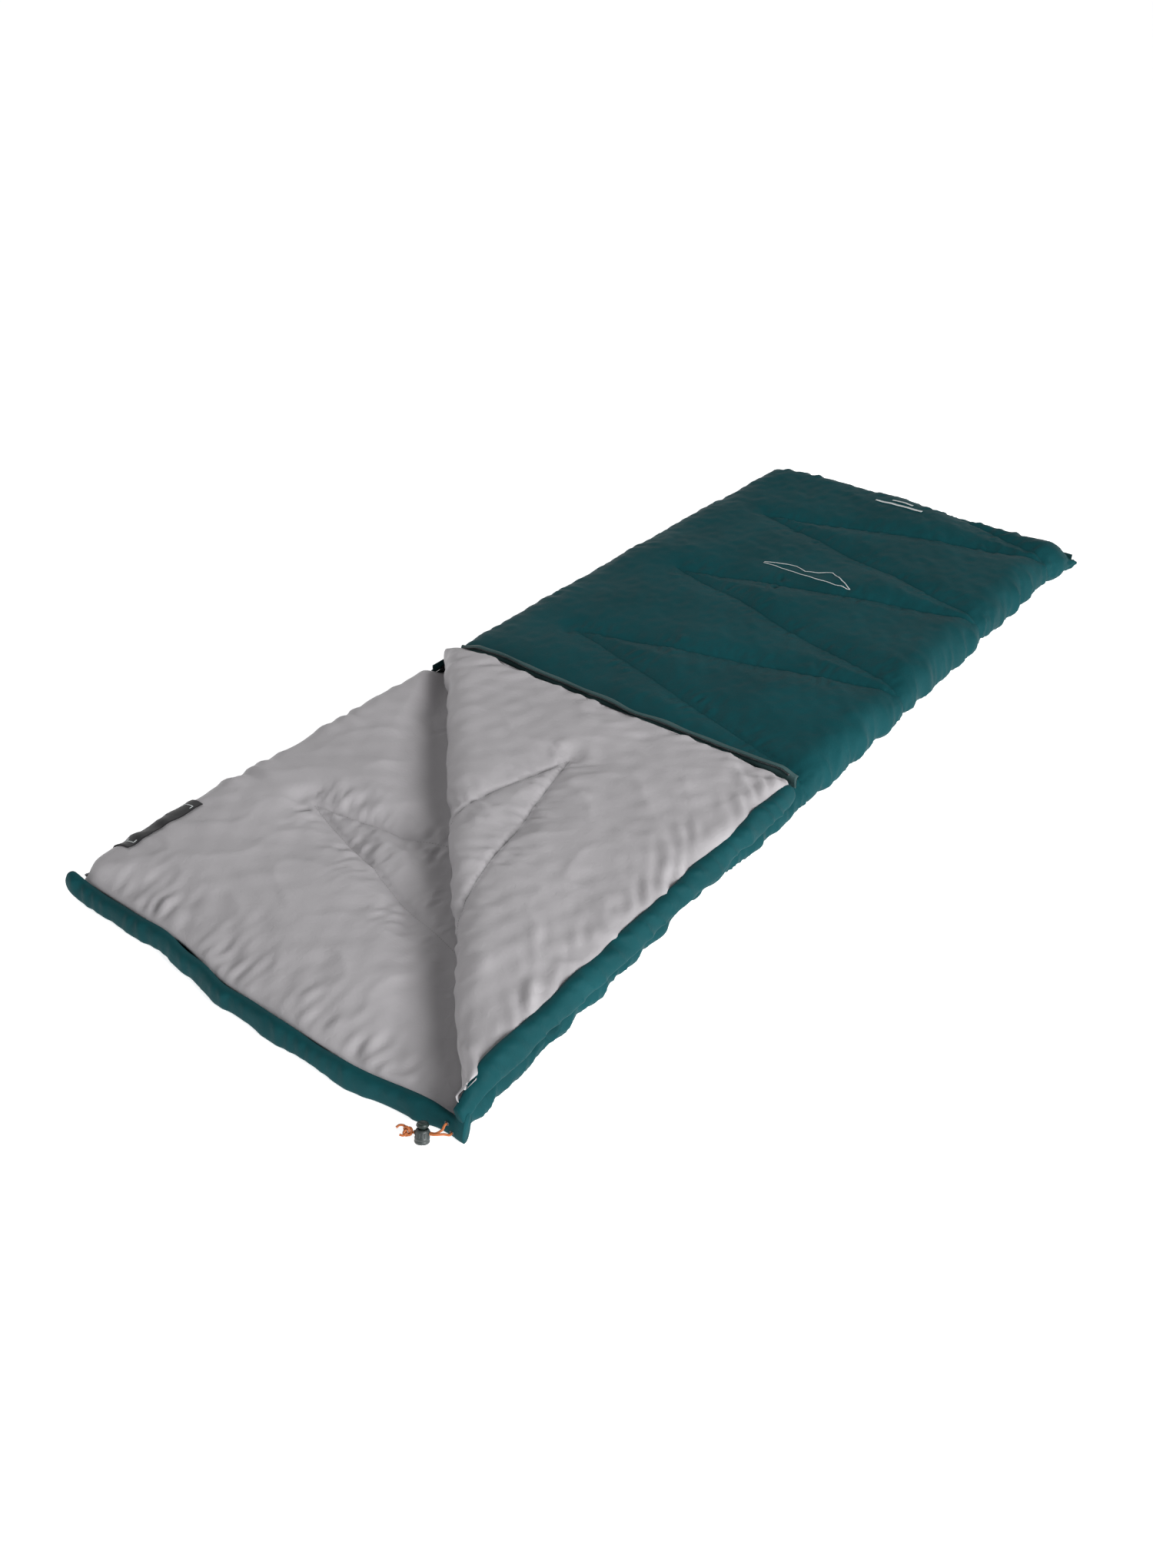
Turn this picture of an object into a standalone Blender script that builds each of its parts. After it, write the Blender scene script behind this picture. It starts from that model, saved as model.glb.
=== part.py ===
"""A rectangular camp quilt (envelope sleeping bag) lying flat, with its zipped head corner folded back.

Metres, +Z up. The origin is at the middle of the footprint, on the ground: the head end is at -Y, the foot
end at +Y, the zipped side at -X and the folded side, which has no zip, at +X. One quilted panel is folded
along the +X side into a bottom and a top layer. An L-shaped zip joins them along the -X side and the foot.
The top layer's head corner is folded back along a 45 degree diagonal, so that its lining shows.
"""

import math

import bmesh
import bpy
from mathutils import Matrix, Vector

# ---- overall sizes ----
LENGTH = 1.90  # head to foot
WIDTH = 0.75  # zipped side to folded side, over the slider's bail
LOFT = 0.027  # one quilted layer, shell to lining
LAYER_GAP = 0.0016  # room between stacked layers

# ---- fabric and clearances ----
FABRIC = 0.0008  # shell and lining cloth
CLEAR = 0.0003  # between pieces that touch on the real object
SEAM_GAP = 0.0008  # between the rims of a layer's two cloths, whose inner edges lean together
EDGE_ROUND = 0.018  # how far in from its seam a layer reaches full loft
CORNER_RADIUS = 0.022
CORNER_STEPS = 5
EDGE_STEPS = 4

# ---- head hem and its drawcord ----
HEM_DEPTH = 0.010
HEM_ROUND = 0.003
HEM_ABOVE_GROUND = 0.0015
HEM_END = 0.016  # from the side of the quilt to the hem's zip end
CORD_RADIUS = 0.0015
EYELET_RING = 0.0027  # to the middle of the ring's wire
EYELET_WIRE = 0.0007
EYELET_X = (0.025, 0.018)  # from the folded side: upper, lower
EYELET_Z = (0.0205, 0.0090)

# ---- zip ----
ZIP_DEPTH = 0.0085  # the tape's middle plane from the outside of the slider's bail
TAPE_THICK = 0.001
TAPE_BELOW_SEAM = 0.002
COIL_RADIUS = 0.0015
COIL_OFFSET = 0.0023  # a coil's centre from the plane between the layers
ZIP_FOOT_END = 0.022  # from the folded side to the end of the foot leg
ZIP_HEAD_END = 0.025  # from the head to the end of the coils
STOP_LENGTH = 0.004

# ---- slider and pull ----
SLIDER_LENGTH = 0.026
SLIDER_HALF_HEIGHT = 0.005
SLIDER_PLATE = 0.0012
SLIDER_BORE = 0.0024  # the plates' inner faces from the tape's middle plane
SLIDER_SLOT = 0.0009  # half the slot that a tape runs through
SLIDER_FROM_FOLD = 0.034  # the slider's middle, footward of where the corner folds
DIVIDER_THICK = 0.001
DIVIDER_LENGTH = 0.005
BAIL_RISE = 0.0045
BAIL_THICK = 0.0009
BAIL_HALF_WIDTH = 0.0009
BAIL_HALF_LENGTH = 0.0044
PULL_LENGTH = 0.034
PULL_WIDTH = 0.008
PULL_THICK = 0.0012
PULL_BAR = 0.0008
PULL_SLOT_END = 0.0085
PULL_SLOT_HALF = 0.0016

# ---- cord lock ----
LOCK_POINT = Vector((0.041, -0.024, 0.0155))  # middle of its cord hole, from the folded head corner
LOCK_TURN = math.radians(30)  # the cord's direction through it, from -X towards -Y
LOCK_LEAN = math.radians(24)  # back towards the hem
LOCK_RADIUS = 0.0075
LOCK_BORE = 0.0055
LOCK_BELOW = 0.0100  # barrel, under the cord hole's middle
LOCK_ABOVE = 0.0050
LOCK_FLOOR = 0.0015
PLUNGER_TRAVEL = 0.0025
CAP_RADIUS = 0.0062
CAP_THICK = 0.0038
STRAND_GAP = 0.0006  # between the two strands inside the lock
SPRING_WIRE = 0.0003
SPRING_RADIUS = 0.0035
SPRING_TURNS = 4
LOCK_TRAVEL = 0.008
KNOT_RING = 0.0034
KNOT_GAP = 0.0105  # the strands' ends from the lock's middle

# ---- woven label ----
LABEL_FROM_HEAD = 0.076
LABEL_LENGTH = 0.136
LABEL_REACH = 0.030  # how far it lies in over the lining
LABEL_THICK = 0.0006

# ---- worked out from the sizes above ----
LEFT = -WIDTH / 2
RIGHT = WIDTH / 2
HEAD = -LENGTH / 2
FOOT = LENGTH / 2
PITCH = LOFT + LAYER_GAP
MIDDLE = PITCH - LAYER_GAP / 2  # plane between bottom and top layer
FOLD_PLANE = 2 * PITCH - LAYER_GAP / 2  # plane between top layer and flap
FOLD_Y = HEAD + WIDTH  # where the diagonal meets the zipped side
ZIP_IN = ZIP_DEPTH + TAPE_THICK / 2 + CLEAR
ZIP_CORNER = CORNER_RADIUS + ZIP_IN - ZIP_DEPTH
FOLD_IN = FABRIC + CLEAR + CLEAR
EYELET_SEAT = 2 * EYELET_WIRE
STRAND_PITCH = 2 * CORD_RADIUS + STRAND_GAP
HEM_IN = EYELET_SEAT + CLEAR + HEM_DEPTH
BODY_IN = HEM_IN + CLEAR
TAPE_X = LEFT + ZIP_DEPTH
TAPE_Y = FOOT - ZIP_DEPTH
FOLD_AXIS_POINT = Vector((RIGHT, HEAD, FOLD_PLANE))
FOLD_AXIS = Vector((1, -1, 0)).normalized()


# ---------------------------------------------------------------- scene and helpers


def clear_scene():
    for old in list(bpy.data.objects):
        bpy.data.objects.remove(old, do_unlink=True)


def collection(name):
    made = bpy.data.collections.new(name)
    bpy.context.scene.collection.children.link(made)
    return made


def material(name, colour, roughness, metallic=0.0):
    made = bpy.data.materials.new(name)
    made.use_nodes = True
    shader = made.node_tree.nodes["Principled BSDF"]
    shader.inputs["Base Color"].default_value = (*colour, 1)
    shader.inputs["Roughness"].default_value = roughness
    shader.inputs["Metallic"].default_value = metallic
    made.diffuse_color = (*colour, 1)
    return made


def empty(name, place):
    made = bpy.data.objects.new(name, None)
    PARTS.objects.link(made)
    made.location = place
    bpy.context.view_layer.update()
    return made


def add(name, mesh, finish, parent):
    """A new sub-part from a bmesh in world coordinates, under the empty that moves it."""
    data = bpy.data.meshes.new(name)
    mesh.to_mesh(data)
    mesh.free()
    data.materials.append(finish)
    made = bpy.data.objects.new(name, data)
    PARTS.objects.link(made)
    made.parent = parent
    made.matrix_parent_inverse = parent.matrix_world.inverted()
    return made


def solidify(piece, thickness, offset=-1.0):
    made = piece.modifiers.new("cloth", "SOLIDIFY")
    made.thickness = thickness
    made.offset = offset
    made.use_even_offset = True


def cut(piece, cutter_mesh, name):
    """Takes a closed bmesh away from a piece."""
    data = bpy.data.meshes.new(name)
    cutter_mesh.to_mesh(data)
    cutter_mesh.free()
    cutter = bpy.data.objects.new(name, data)
    CUTTERS.objects.link(cutter)
    cutter.hide_render = True
    cutter.display_type = "WIRE"
    made = piece.modifiers.new(name, "BOOLEAN")
    made.operation = "DIFFERENCE"
    made.solver = "EXACT"
    made.object = cutter


def unite(piece, mesh, name):
    """Joins a closed bmesh to a piece."""
    cut(piece, mesh, name)
    piece.modifiers[-1].operation = "UNION"


def box(low, high):
    made = bmesh.new()
    bmesh.ops.create_cube(made, size=1)
    low, high = Vector(low), Vector(high)
    size = high - low
    bmesh.ops.scale(made, vec=size, verts=made.verts)
    bmesh.ops.translate(made, vec=(low + high) / 2, verts=made.verts)
    return made


def cylinder(radius, low, high, sides=24):
    """A cylinder along Z, at the origin."""
    made = bmesh.new()
    bmesh.ops.create_cone(made, cap_ends=True, segments=sides, radius1=radius, radius2=radius, depth=high - low)
    bmesh.ops.translate(made, vec=(0, 0, (low + high) / 2), verts=made.verts)
    return made


def placed(mesh, matrix):
    bmesh.ops.transform(mesh, matrix=matrix, verts=mesh.verts)
    return mesh


def tube(name, points, radius, finish, parent):
    """A round wire through the points."""
    curve = bpy.data.curves.new(name, "CURVE")
    curve.dimensions = "3D"
    curve.bevel_depth = radius
    curve.bevel_resolution = 2
    curve.use_fill_caps = True
    spline = curve.splines.new("POLY")
    spline.points.add(len(points) - 1)
    for place, point in zip(spline.points, points):
        place.co = (*point, 1)
    curve.materials.append(finish)
    made = bpy.data.objects.new(name, curve)
    PARTS.objects.link(made)
    made.parent = parent
    made.matrix_parent_inverse = parent.matrix_world.inverted()
    return made


def smooth_route(route, per_span=5):
    """Points on a Catmull-Rom curve through a hand-chosen route."""
    ends = [2 * route[0] - route[1], *route, 2 * route[-1] - route[-2]]
    points = []
    for n in range(1, len(ends) - 2):
        before, here, there, after = ends[n - 1 : n + 3]
        for step in range(per_span):
            t = step / per_span
            points.append(
                0.5
                * (
                    2 * here
                    + (there - before) * t
                    + (2 * before - 5 * here + 4 * there - after) * t**2
                    + (3 * here - before - 3 * there + after) * t**3
                )
            )
    return [*points, route[-1].copy()]


# ---------------------------------------------------------------- outlines


def inset(corners, distances):
    """A convex outline with each edge moved in by its own distance. Edge n runs from corner n to the next."""
    lines = []
    for n, start in enumerate(corners):
        run = (corners[(n + 1) % len(corners)] - start).normalized()
        lines.append((start + Vector((-run.y, run.x)) * distances[n], run))
    moved = []
    for n, (point, run) in enumerate(lines):
        other, other_run = lines[n - 1]
        along = (point - other).cross(run) / other_run.cross(run)
        moved.append(other + other_run * along)
    return moved


def rounded(corners, radius):
    """An outline with its corners as arcs."""
    points = []
    for n, corner in enumerate(corners):
        into = (corner - corners[n - 1]).normalized()
        out = (corners[(n + 1) % len(corners)] - corner).normalized()
        turn = math.atan2(into.cross(out), into.dot(out))
        back = radius * math.tan(turn / 2)
        centre = corner - into * back + Vector((-into.y, into.x)) * radius
        first = math.atan2(-into.x, into.y)
        for step in range(CORNER_STEPS + 1):
            angle = first + turn * step / CORNER_STEPS
            points.append(centre + radius * Vector((math.cos(angle), math.sin(angle))))
    return points


def pad_rings(corners, distances, seam_z, face_z, extra=0.0):
    """Rings up or down the rounded edge of a layer, from its seam to its flat face."""
    rings = []
    for step in range(EDGE_STEPS + 1):
        angle = math.pi / 2 * step / EDGE_STEPS
        inward = EDGE_ROUND * (1 - math.cos(angle))
        outline = inset(corners, [d + extra + inward for d in distances])
        z = seam_z + (face_z - seam_z) * math.sin(angle)
        rings.append([(p.x, p.y, z) for p in rounded(outline, CORNER_RADIUS - inward)])
    return rings


def skin_rings(mesh, rings):
    """Joins each ring to the next, and returns the rings' vertices."""
    loops = [[mesh.verts.new(point) for point in ring] for ring in rings]
    count = len(rings[0])
    for lower, upper in zip(loops, loops[1:]):
        for n in range(count):
            mesh.faces.new((lower[n], lower[(n + 1) % count], upper[(n + 1) % count], upper[n]))
    return loops


# ---------------------------------------------------------------- quilted layers


def cloth_face(name, corners, distances, seam_z, face_z, finish, parent):
    """One cloth of a layer: a shallow dish from the edge seam to its flat face."""
    mesh = bmesh.new()
    loops = skin_rings(mesh, pad_rings(corners, distances, seam_z, face_z))
    mesh.faces.new(loops[-1])
    if face_z < seam_z:
        bmesh.ops.reverse_faces(mesh, faces=mesh.faces)
    made = add(name, mesh, finish, parent)
    solidify(made, FABRIC)
    return made


def batting(name, corners, distances, low, high, finish, parent):
    """The hollow-fibre filling between the two cloths."""
    seam = (low + high) / 2
    room = FABRIC + 2 * CLEAR
    mesh = bmesh.new()
    upper = pad_rings(corners, distances, seam, high - room, room)
    lower = pad_rings(corners, distances, seam, low + room, room)
    loops = skin_rings(mesh, [*reversed(lower), *upper[1:]])
    mesh.faces.new(loops[-1])
    mesh.faces.new(loops[0][::-1])
    return add(name, mesh, finish, parent)


def layer(name, corners, distances, level, shell_up, parent):
    """Shell, filling and lining of one quilted layer."""
    low, high = level * PITCH, level * PITCH + LOFT
    seam = (low + high) / 2
    faces = {True: (seam + SEAM_GAP / 2, high), False: (seam - SEAM_GAP / 2, low)}
    made = [
        cloth_face(f"{name}_shell", corners, distances, *faces[shell_up], TEAL, parent),
        batting(f"{name}_batting", corners, distances, low, high, FIBRE, parent),
        cloth_face(f"{name}_lining", corners, distances, *faces[not shell_up], GREY, parent),
    ]
    return made


def head_hem(name, end_x, level, parent):
    """The open-ended tunnel of shell cloth along the head, which holds the drawcord."""
    near, far = HEAD + EYELET_SEAT + CLEAR, HEAD + HEM_IN
    low, high = level * PITCH + HEM_ABOVE_GROUND, level * PITCH + LOFT - HEM_ABOVE_GROUND
    corners = [Vector((near, low)), Vector((far, low)), Vector((far, high)), Vector((near, high))]
    section = rounded(corners, HEM_ROUND)
    rings = [[(x, p.x, p.y) for p in section] for x in (LEFT + HEM_END, end_x)]
    mesh = bmesh.new()
    skin_rings(mesh, rings)
    bmesh.ops.recalc_face_normals(mesh, faces=mesh.faces)
    made = add(name, mesh, TEAL, parent)
    solidify(made, FABRIC)
    return made


def inner_cord(name, end_x, level, parent):
    """The drawcord inside a hem, lying on the tunnel's floor."""
    y = HEAD + EYELET_SEAT + CLEAR + HEM_DEPTH / 2
    z = level * PITCH + HEM_ABOVE_GROUND + FABRIC + CLEAR + CORD_RADIUS
    ends = [Vector((LEFT + HEM_END + CLEAR, y, z)), Vector((end_x, y, z))]
    return tube(name, ends, CORD_RADIUS, ORANGE, parent)


def fold_strip(name, start, end, level, finish, parent):
    """Cloth that wraps round a fold, from the middle of one layer to the middle of the next one up."""
    run = (end - start).normalized()
    out = Vector((run.y, -run.x))
    mesh = bmesh.new()
    low = level * PITCH + LOFT / 3
    high = (level + 1) * PITCH + LOFT * 2 / 3
    rows = []
    for z in (low, high):
        rows.append([mesh.verts.new((p.x, p.y, z)) for p in (start, end)])
    mesh.faces.new((rows[0][0], rows[0][1], rows[1][1], rows[1][0]))
    mesh.normal_update()
    if mesh.faces[:][0].normal.xy.dot(out) < 0:
        bmesh.ops.reverse_faces(mesh, faces=mesh.faces)
    made = add(name, mesh, finish, parent)
    solidify(made, FABRIC)
    return made


# ---------------------------------------------------------------- zip


def zip_path(start_y, end_x):
    """Down the zipped side, round the foot corner and along the foot."""
    centre = Vector((TAPE_X + ZIP_CORNER, TAPE_Y - ZIP_CORNER))
    arc = []
    for step in range(CORNER_STEPS + 1):
        angle = math.pi - math.pi / 2 * step / CORNER_STEPS
        arc.append(centre + ZIP_CORNER * Vector((math.cos(angle), math.sin(angle))))
    return [Vector((TAPE_X, start_y)), *arc, Vector((end_x, TAPE_Y))]


def zip_tape(name, path, low, high, parent):
    mesh = bmesh.new()
    rows = [[mesh.verts.new((p.x, p.y, z)) for p in path] for z in (low, high)]
    for n in range(len(path) - 1):
        mesh.faces.new((rows[0][n], rows[0][n + 1], rows[1][n + 1], rows[1][n]))
    made = add(name, mesh, TAPE, parent)
    solidify(made, TAPE_THICK, 0.0)
    return made


def zip_half(name, path, side, parent):
    """Tape and coil of one half of the zip. side is -1 under the plane between the layers, 1 over it."""
    coil_z = MIDDLE + side * COIL_OFFSET
    inner = coil_z + side * (COIL_RADIUS + CLEAR)
    outer = MIDDLE + side * (PITCH / 2 + TAPE_BELOW_SEAM)
    tape = zip_tape(f"{name}_zip_tape", path, min(inner, outer), max(inner, outer), parent)
    coil = tube(f"{name}_zip_coil", [(p.x, p.y, coil_z) for p in path], COIL_RADIUS, COIL, parent)
    return [tape, coil]


def zip_end_block(name, x, y, half_x, half_y, side, parent):
    """A stop, or half of the box and pin that join the zip's far end."""
    near = MIDDLE + side * (COIL_OFFSET - COIL_RADIUS)
    far = MIDDLE + side * (COIL_OFFSET + COIL_RADIUS)
    mesh = box((x - half_x, y - half_y, min(near, far)), (x + half_x, y + half_y, max(near, far)))
    return add(name, mesh, METAL, parent)


def zip_slider(parent):
    """Two plates with lips, joined by a divider, round both coils, and a bail on the outer plate."""
    y = FOLD_Y + SLIDER_FROM_FOLD
    y0, y1 = y - SLIDER_LENGTH / 2, y + SLIDER_LENGTH / 2
    outside = TAPE_X - SLIDER_BORE - SLIDER_PLATE
    low, high = MIDDLE - SLIDER_HALF_HEIGHT, MIDDLE + SLIDER_HALF_HEIGHT
    lip = COIL_OFFSET + COIL_RADIUS + CLEAR
    mesh = box((outside, y0, low), (TAPE_X - SLIDER_BORE, y1, high))
    made = add("slider_body", mesh, METAL, parent)
    inner_plate = box((TAPE_X + SLIDER_BORE, y0, low), (TAPE_X + SLIDER_BORE + SLIDER_PLATE, y1, high))
    divider = box(
        (TAPE_X - SLIDER_BORE - SLIDER_PLATE / 2, y0 + CLEAR, MIDDLE - DIVIDER_THICK / 2),
        (TAPE_X + SLIDER_BORE + SLIDER_PLATE / 2, y0 + DIVIDER_LENGTH, MIDDLE + DIVIDER_THICK / 2),
    )
    unite(made, divider, "divider")
    unite(made, inner_plate, "inner_plate")
    for side in (-1, 1):
        z0, z1 = sorted((MIDDLE + side * lip, MIDDLE + side * SLIDER_HALF_HEIGHT))
        for face in (-1, 1):
            x0, x1 = sorted((TAPE_X + face * SLIDER_SLOT, TAPE_X + face * (SLIDER_BORE + SLIDER_PLATE / 2)))
            unite(made, box((x0, y0, z0), (x1, y1, z1)), f"lip_{side}_{face}")
    top = outside - BAIL_RISE
    bridge = box(
        (top, y - BAIL_HALF_LENGTH, MIDDLE - BAIL_HALF_WIDTH),
        (top + BAIL_THICK, y + BAIL_HALF_LENGTH, MIDDLE + BAIL_HALF_WIDTH),
    )
    for side in (-1, 1):
        leg_y = sorted((y + side * BAIL_HALF_LENGTH, y + side * (BAIL_HALF_LENGTH - BAIL_THICK)))
        leg = box(
            (top + BAIL_THICK / 2, leg_y[0], MIDDLE - BAIL_HALF_WIDTH),
            (outside + SLIDER_PLATE / 2, leg_y[1], MIDDLE + BAIL_HALF_WIDTH),
        )
        unite(made, leg, f"bail_leg_{side}")
    unite(made, bridge, "bail_bridge")
    return made


def zip_pull(parent, pivot):
    """A flat tab with a slot round the bail, lying along the outer plate towards the head."""
    back = pivot.y + PULL_BAR
    front = pivot.y - PULL_LENGTH
    mesh = box(
        (pivot.x - PULL_THICK / 2, front, pivot.z - PULL_WIDTH / 2),
        (pivot.x + PULL_THICK / 2, back, pivot.z + PULL_WIDTH / 2),
    )
    upright = [e for e in mesh.edges if abs(e.verts[0].co.x - e.verts[1].co.x) > PULL_THICK / 2]
    bmesh.ops.bevel(mesh, geom=upright, offset=PULL_WIDTH / 5, segments=3, affect="EDGES")
    made = add("pull_tab", mesh, METAL, parent)
    slot = box(
        (pivot.x - PULL_THICK, pivot.y - PULL_SLOT_END, pivot.z - PULL_SLOT_HALF),
        (pivot.x + PULL_THICK, pivot.y - PULL_BAR, pivot.z + PULL_SLOT_HALF),
    )
    cut(made, slot, "pull_slot")
    hang_hole = placed(
        cylinder(PULL_WIDTH / 5, -PULL_THICK, PULL_THICK, 16),
        Matrix.Translation((pivot.x, front + PULL_WIDTH / 2, pivot.z)) @ Matrix.Rotation(math.pi / 2, 4, "Y"),
    )
    cut(made, hang_hole, "pull_hole")
    return made


# ---------------------------------------------------------------- drawcord, lock and label


def lock_frame():
    """The lock's own frame: X back along the strands to the hem, Z along the plunger."""
    along = Vector((math.cos(LOCK_TURN), math.sin(LOCK_TURN), 0))
    back = Vector((-math.sin(LOCK_TURN), math.cos(LOCK_TURN), 0))
    up = (Vector((0, 0, math.cos(LOCK_LEAN))) + back * math.sin(LOCK_LEAN)).normalized()
    side = up.cross(along)
    turn = Matrix((along, side, up)).transposed().to_4x4()
    corner = Vector((RIGHT, HEAD, 0))
    place = corner + Vector((-LOCK_POINT.x, LOCK_POINT.y, LOCK_POINT.z))
    return Matrix.Translation(place) @ turn


def cord_lock(frame, barrel_parent, plunger_parent):
    """A sprung barrel: the plunger's cross hole pinches both strands against the barrel's."""
    hole = CORD_RADIUS + CLEAR
    half_width = STRAND_PITCH / 2 + hole
    barrel = add("lock_barrel", placed(cylinder(LOCK_RADIUS, -LOCK_BELOW, LOCK_ABOVE, 28), frame), LOCK, barrel_parent)
    bore_floor = -LOCK_BELOW + LOCK_FLOOR
    bore = cylinder(LOCK_BORE, bore_floor, LOCK_ABOVE + LOCK_FLOOR, 28)
    cut(barrel, placed(bore, frame), "lock_bore")
    reach = 2 * LOCK_RADIUS
    cut(barrel, placed(box((-reach, -half_width, -hole), (reach, half_width, hole)), frame), "barrel_cord_hole")

    stem_radius = LOCK_BORE - CLEAR
    cap_low = LOCK_ABOVE + PLUNGER_TRAVEL + CLEAR
    stem_low = -hole - 2 * FABRIC
    plunger = add(
        "lock_plunger", placed(cylinder(stem_radius, stem_low, cap_low + CLEAR, 28), frame), LOCK_TOP, plunger_parent
    )
    cap = cylinder(CAP_RADIUS, cap_low, cap_low + CAP_THICK, 28)
    rim = [e for e in cap.edges if all(v.co.z > cap_low + CAP_THICK / 2 for v in e.verts)]
    bmesh.ops.bevel(cap, geom=rim, offset=CAP_THICK / 3, segments=3, affect="EDGES")
    unite(plunger, placed(cap, frame), "lock_cap")
    opening = box((-reach, -half_width, -hole), (reach, half_width, hole + PLUNGER_TRAVEL))
    cut(plunger, placed(opening, frame), "plunger_cord_hole")

    low = bore_floor + CLEAR + SPRING_WIRE
    high = stem_low - CLEAR - SPRING_WIRE
    per_turn = 10
    turns = [
        frame
        @ Vector(
            (
                SPRING_RADIUS * math.cos(2 * math.pi * n / per_turn),
                SPRING_RADIUS * math.sin(2 * math.pi * n / per_turn),
                low + (high - low) * n / (per_turn * SPRING_TURNS),
            )
        )
        for n in range(per_turn * SPRING_TURNS + 1)
    ]
    tube("lock_spring", turns, SPRING_WIRE, METAL, barrel_parent)


def eyelet_place(n):
    return Vector((RIGHT - EYELET_X[n], HEAD + EYELET_WIRE, EYELET_Z[n]))


def drawcord_outside(frame, parent):
    """Both strands from the eyelets through the lock, and the knot that keeps the lock on them."""
    for n, name in enumerate(("upper", "lower")):
        exit_point = eyelet_place(n)
        side = STRAND_PITCH / 2 * (1 - 2 * n)
        into_lock = LOCK_RADIUS + LOCK_TRAVEL
        route = [
            exit_point + Vector((0, EYELET_WIRE, 0)),
            exit_point + Vector((0, -0.004, 0)),
            exit_point.lerp(frame @ Vector((into_lock + 0.004, side, 0)), 0.62),
            frame @ Vector((into_lock, side, 0)),
            frame @ Vector((into_lock / 2, side, 0)),
            frame @ Vector((0, side, 0)),
            frame @ Vector((-KNOT_GAP, side, 0)),
        ]
        tube(f"drawcord_strand_{name}", smooth_route(route), CORD_RADIUS, ORANGE, parent)

    knot = bmesh.new()
    centre = frame @ Vector((-KNOT_GAP - CLEAR - KNOT_RING - 1.5 * CORD_RADIUS, 0, 0))
    around, across = 20, 8
    rings = []
    for i in range(around):
        turn = 2 * math.pi * i / around
        radius = CORD_RADIUS * (1.25 + 0.25 * math.cos(3 * turn))
        ring = []
        for j in range(across):
            roll = 2 * math.pi * j / across
            out = KNOT_RING + radius * math.cos(roll)
            ring.append(Vector((out * math.cos(turn), radius * math.sin(roll), out * math.sin(turn))))
        rings.append([knot.verts.new(p) for p in ring])
    for i in range(around):
        for j in range(across):
            here, there = rings[i], rings[(i + 1) % around]
            knot.faces.new((here[j], there[j], there[(j + 1) % across], here[(j + 1) % across]))
    bmesh.ops.recalc_face_normals(knot, faces=knot.faces)
    turned = Matrix.Translation(centre) @ frame.to_3x3().to_4x4()
    return add("drawcord_knot", placed(knot, turned), ORANGE, parent)


def eyelets(hem, parent):
    """Two rings on the hem's front face, over holes in its cloth."""
    for n, name in enumerate(("upper", "lower")):
        place = eyelet_place(n)
        hole = cylinder(EYELET_RING - EYELET_WIRE, -FABRIC, FABRIC, 16)
        facing = Matrix.Translation(place + Vector((0, EYELET_WIRE + CLEAR + FABRIC / 2, 0)))
        cut(hem, placed(hole, facing @ Matrix.Rotation(math.pi / 2, 4, "X")), f"eyelet_hole_{name}")
        bpy.ops.mesh.primitive_torus_add(
            major_radius=EYELET_RING,
            minor_radius=EYELET_WIRE,
            major_segments=20,
            minor_segments=8,
            location=place,
            rotation=(math.pi / 2, 0, 0),
        )
        ring = bpy.context.object
        ring.name = ring.data.name = f"drawcord_eyelet_{name}"
        ring.data.materials.append(METAL)
        for owner in list(ring.users_collection):
            owner.objects.unlink(ring)
        PARTS.objects.link(ring)
        ring.parent = parent
        ring.matrix_parent_inverse = parent.matrix_world.inverted()


def woven_label(corners, distances, parent):
    """A strip folded over the lining's edge on the zipped side, sewn into the seam."""
    y0 = HEAD + LABEL_FROM_HEAD
    seam = LOFT / 2
    side = LEFT + distances[2]
    away = CLEAR + LABEL_THICK
    profile = []
    for step in range(1, EDGE_STEPS + 1):
        angle = math.pi / 2 * step / EDGE_STEPS
        x = side + EDGE_ROUND - (EDGE_ROUND + away) * math.cos(angle)
        z = seam + (LOFT / 2 + away) * math.sin(angle)
        profile.append((x, z))
    profile.append((side + LABEL_REACH, profile[-1][1]))
    mesh = bmesh.new()
    rows = [[mesh.verts.new((x, y, z)) for x, z in profile] for y in (y0, y0 + LABEL_LENGTH)]
    for n in range(len(profile) - 1):
        mesh.faces.new((rows[0][n], rows[1][n], rows[1][n + 1], rows[0][n + 1]))
    mesh.normal_update()
    if mesh.faces[:][-1].normal.z < 0:
        bmesh.ops.reverse_faces(mesh, faces=mesh.faces)
    made = add("woven_label", mesh, BLACK, parent)
    solidify(made, LABEL_THICK)
    return made


# ---------------------------------------------------------------- assembly


def fold_back(pieces):
    """Turns the flat head corner of the top layer over, about the diagonal."""
    turn = (
        Matrix.Translation(FOLD_AXIS_POINT)
        @ Matrix.Rotation(math.pi, 4, FOLD_AXIS)
        @ Matrix.Translation(-FOLD_AXIS_POINT)
    )
    bpy.context.view_layer.update()
    for piece in pieces:
        piece.matrix_world = turn @ piece.matrix_world


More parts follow.
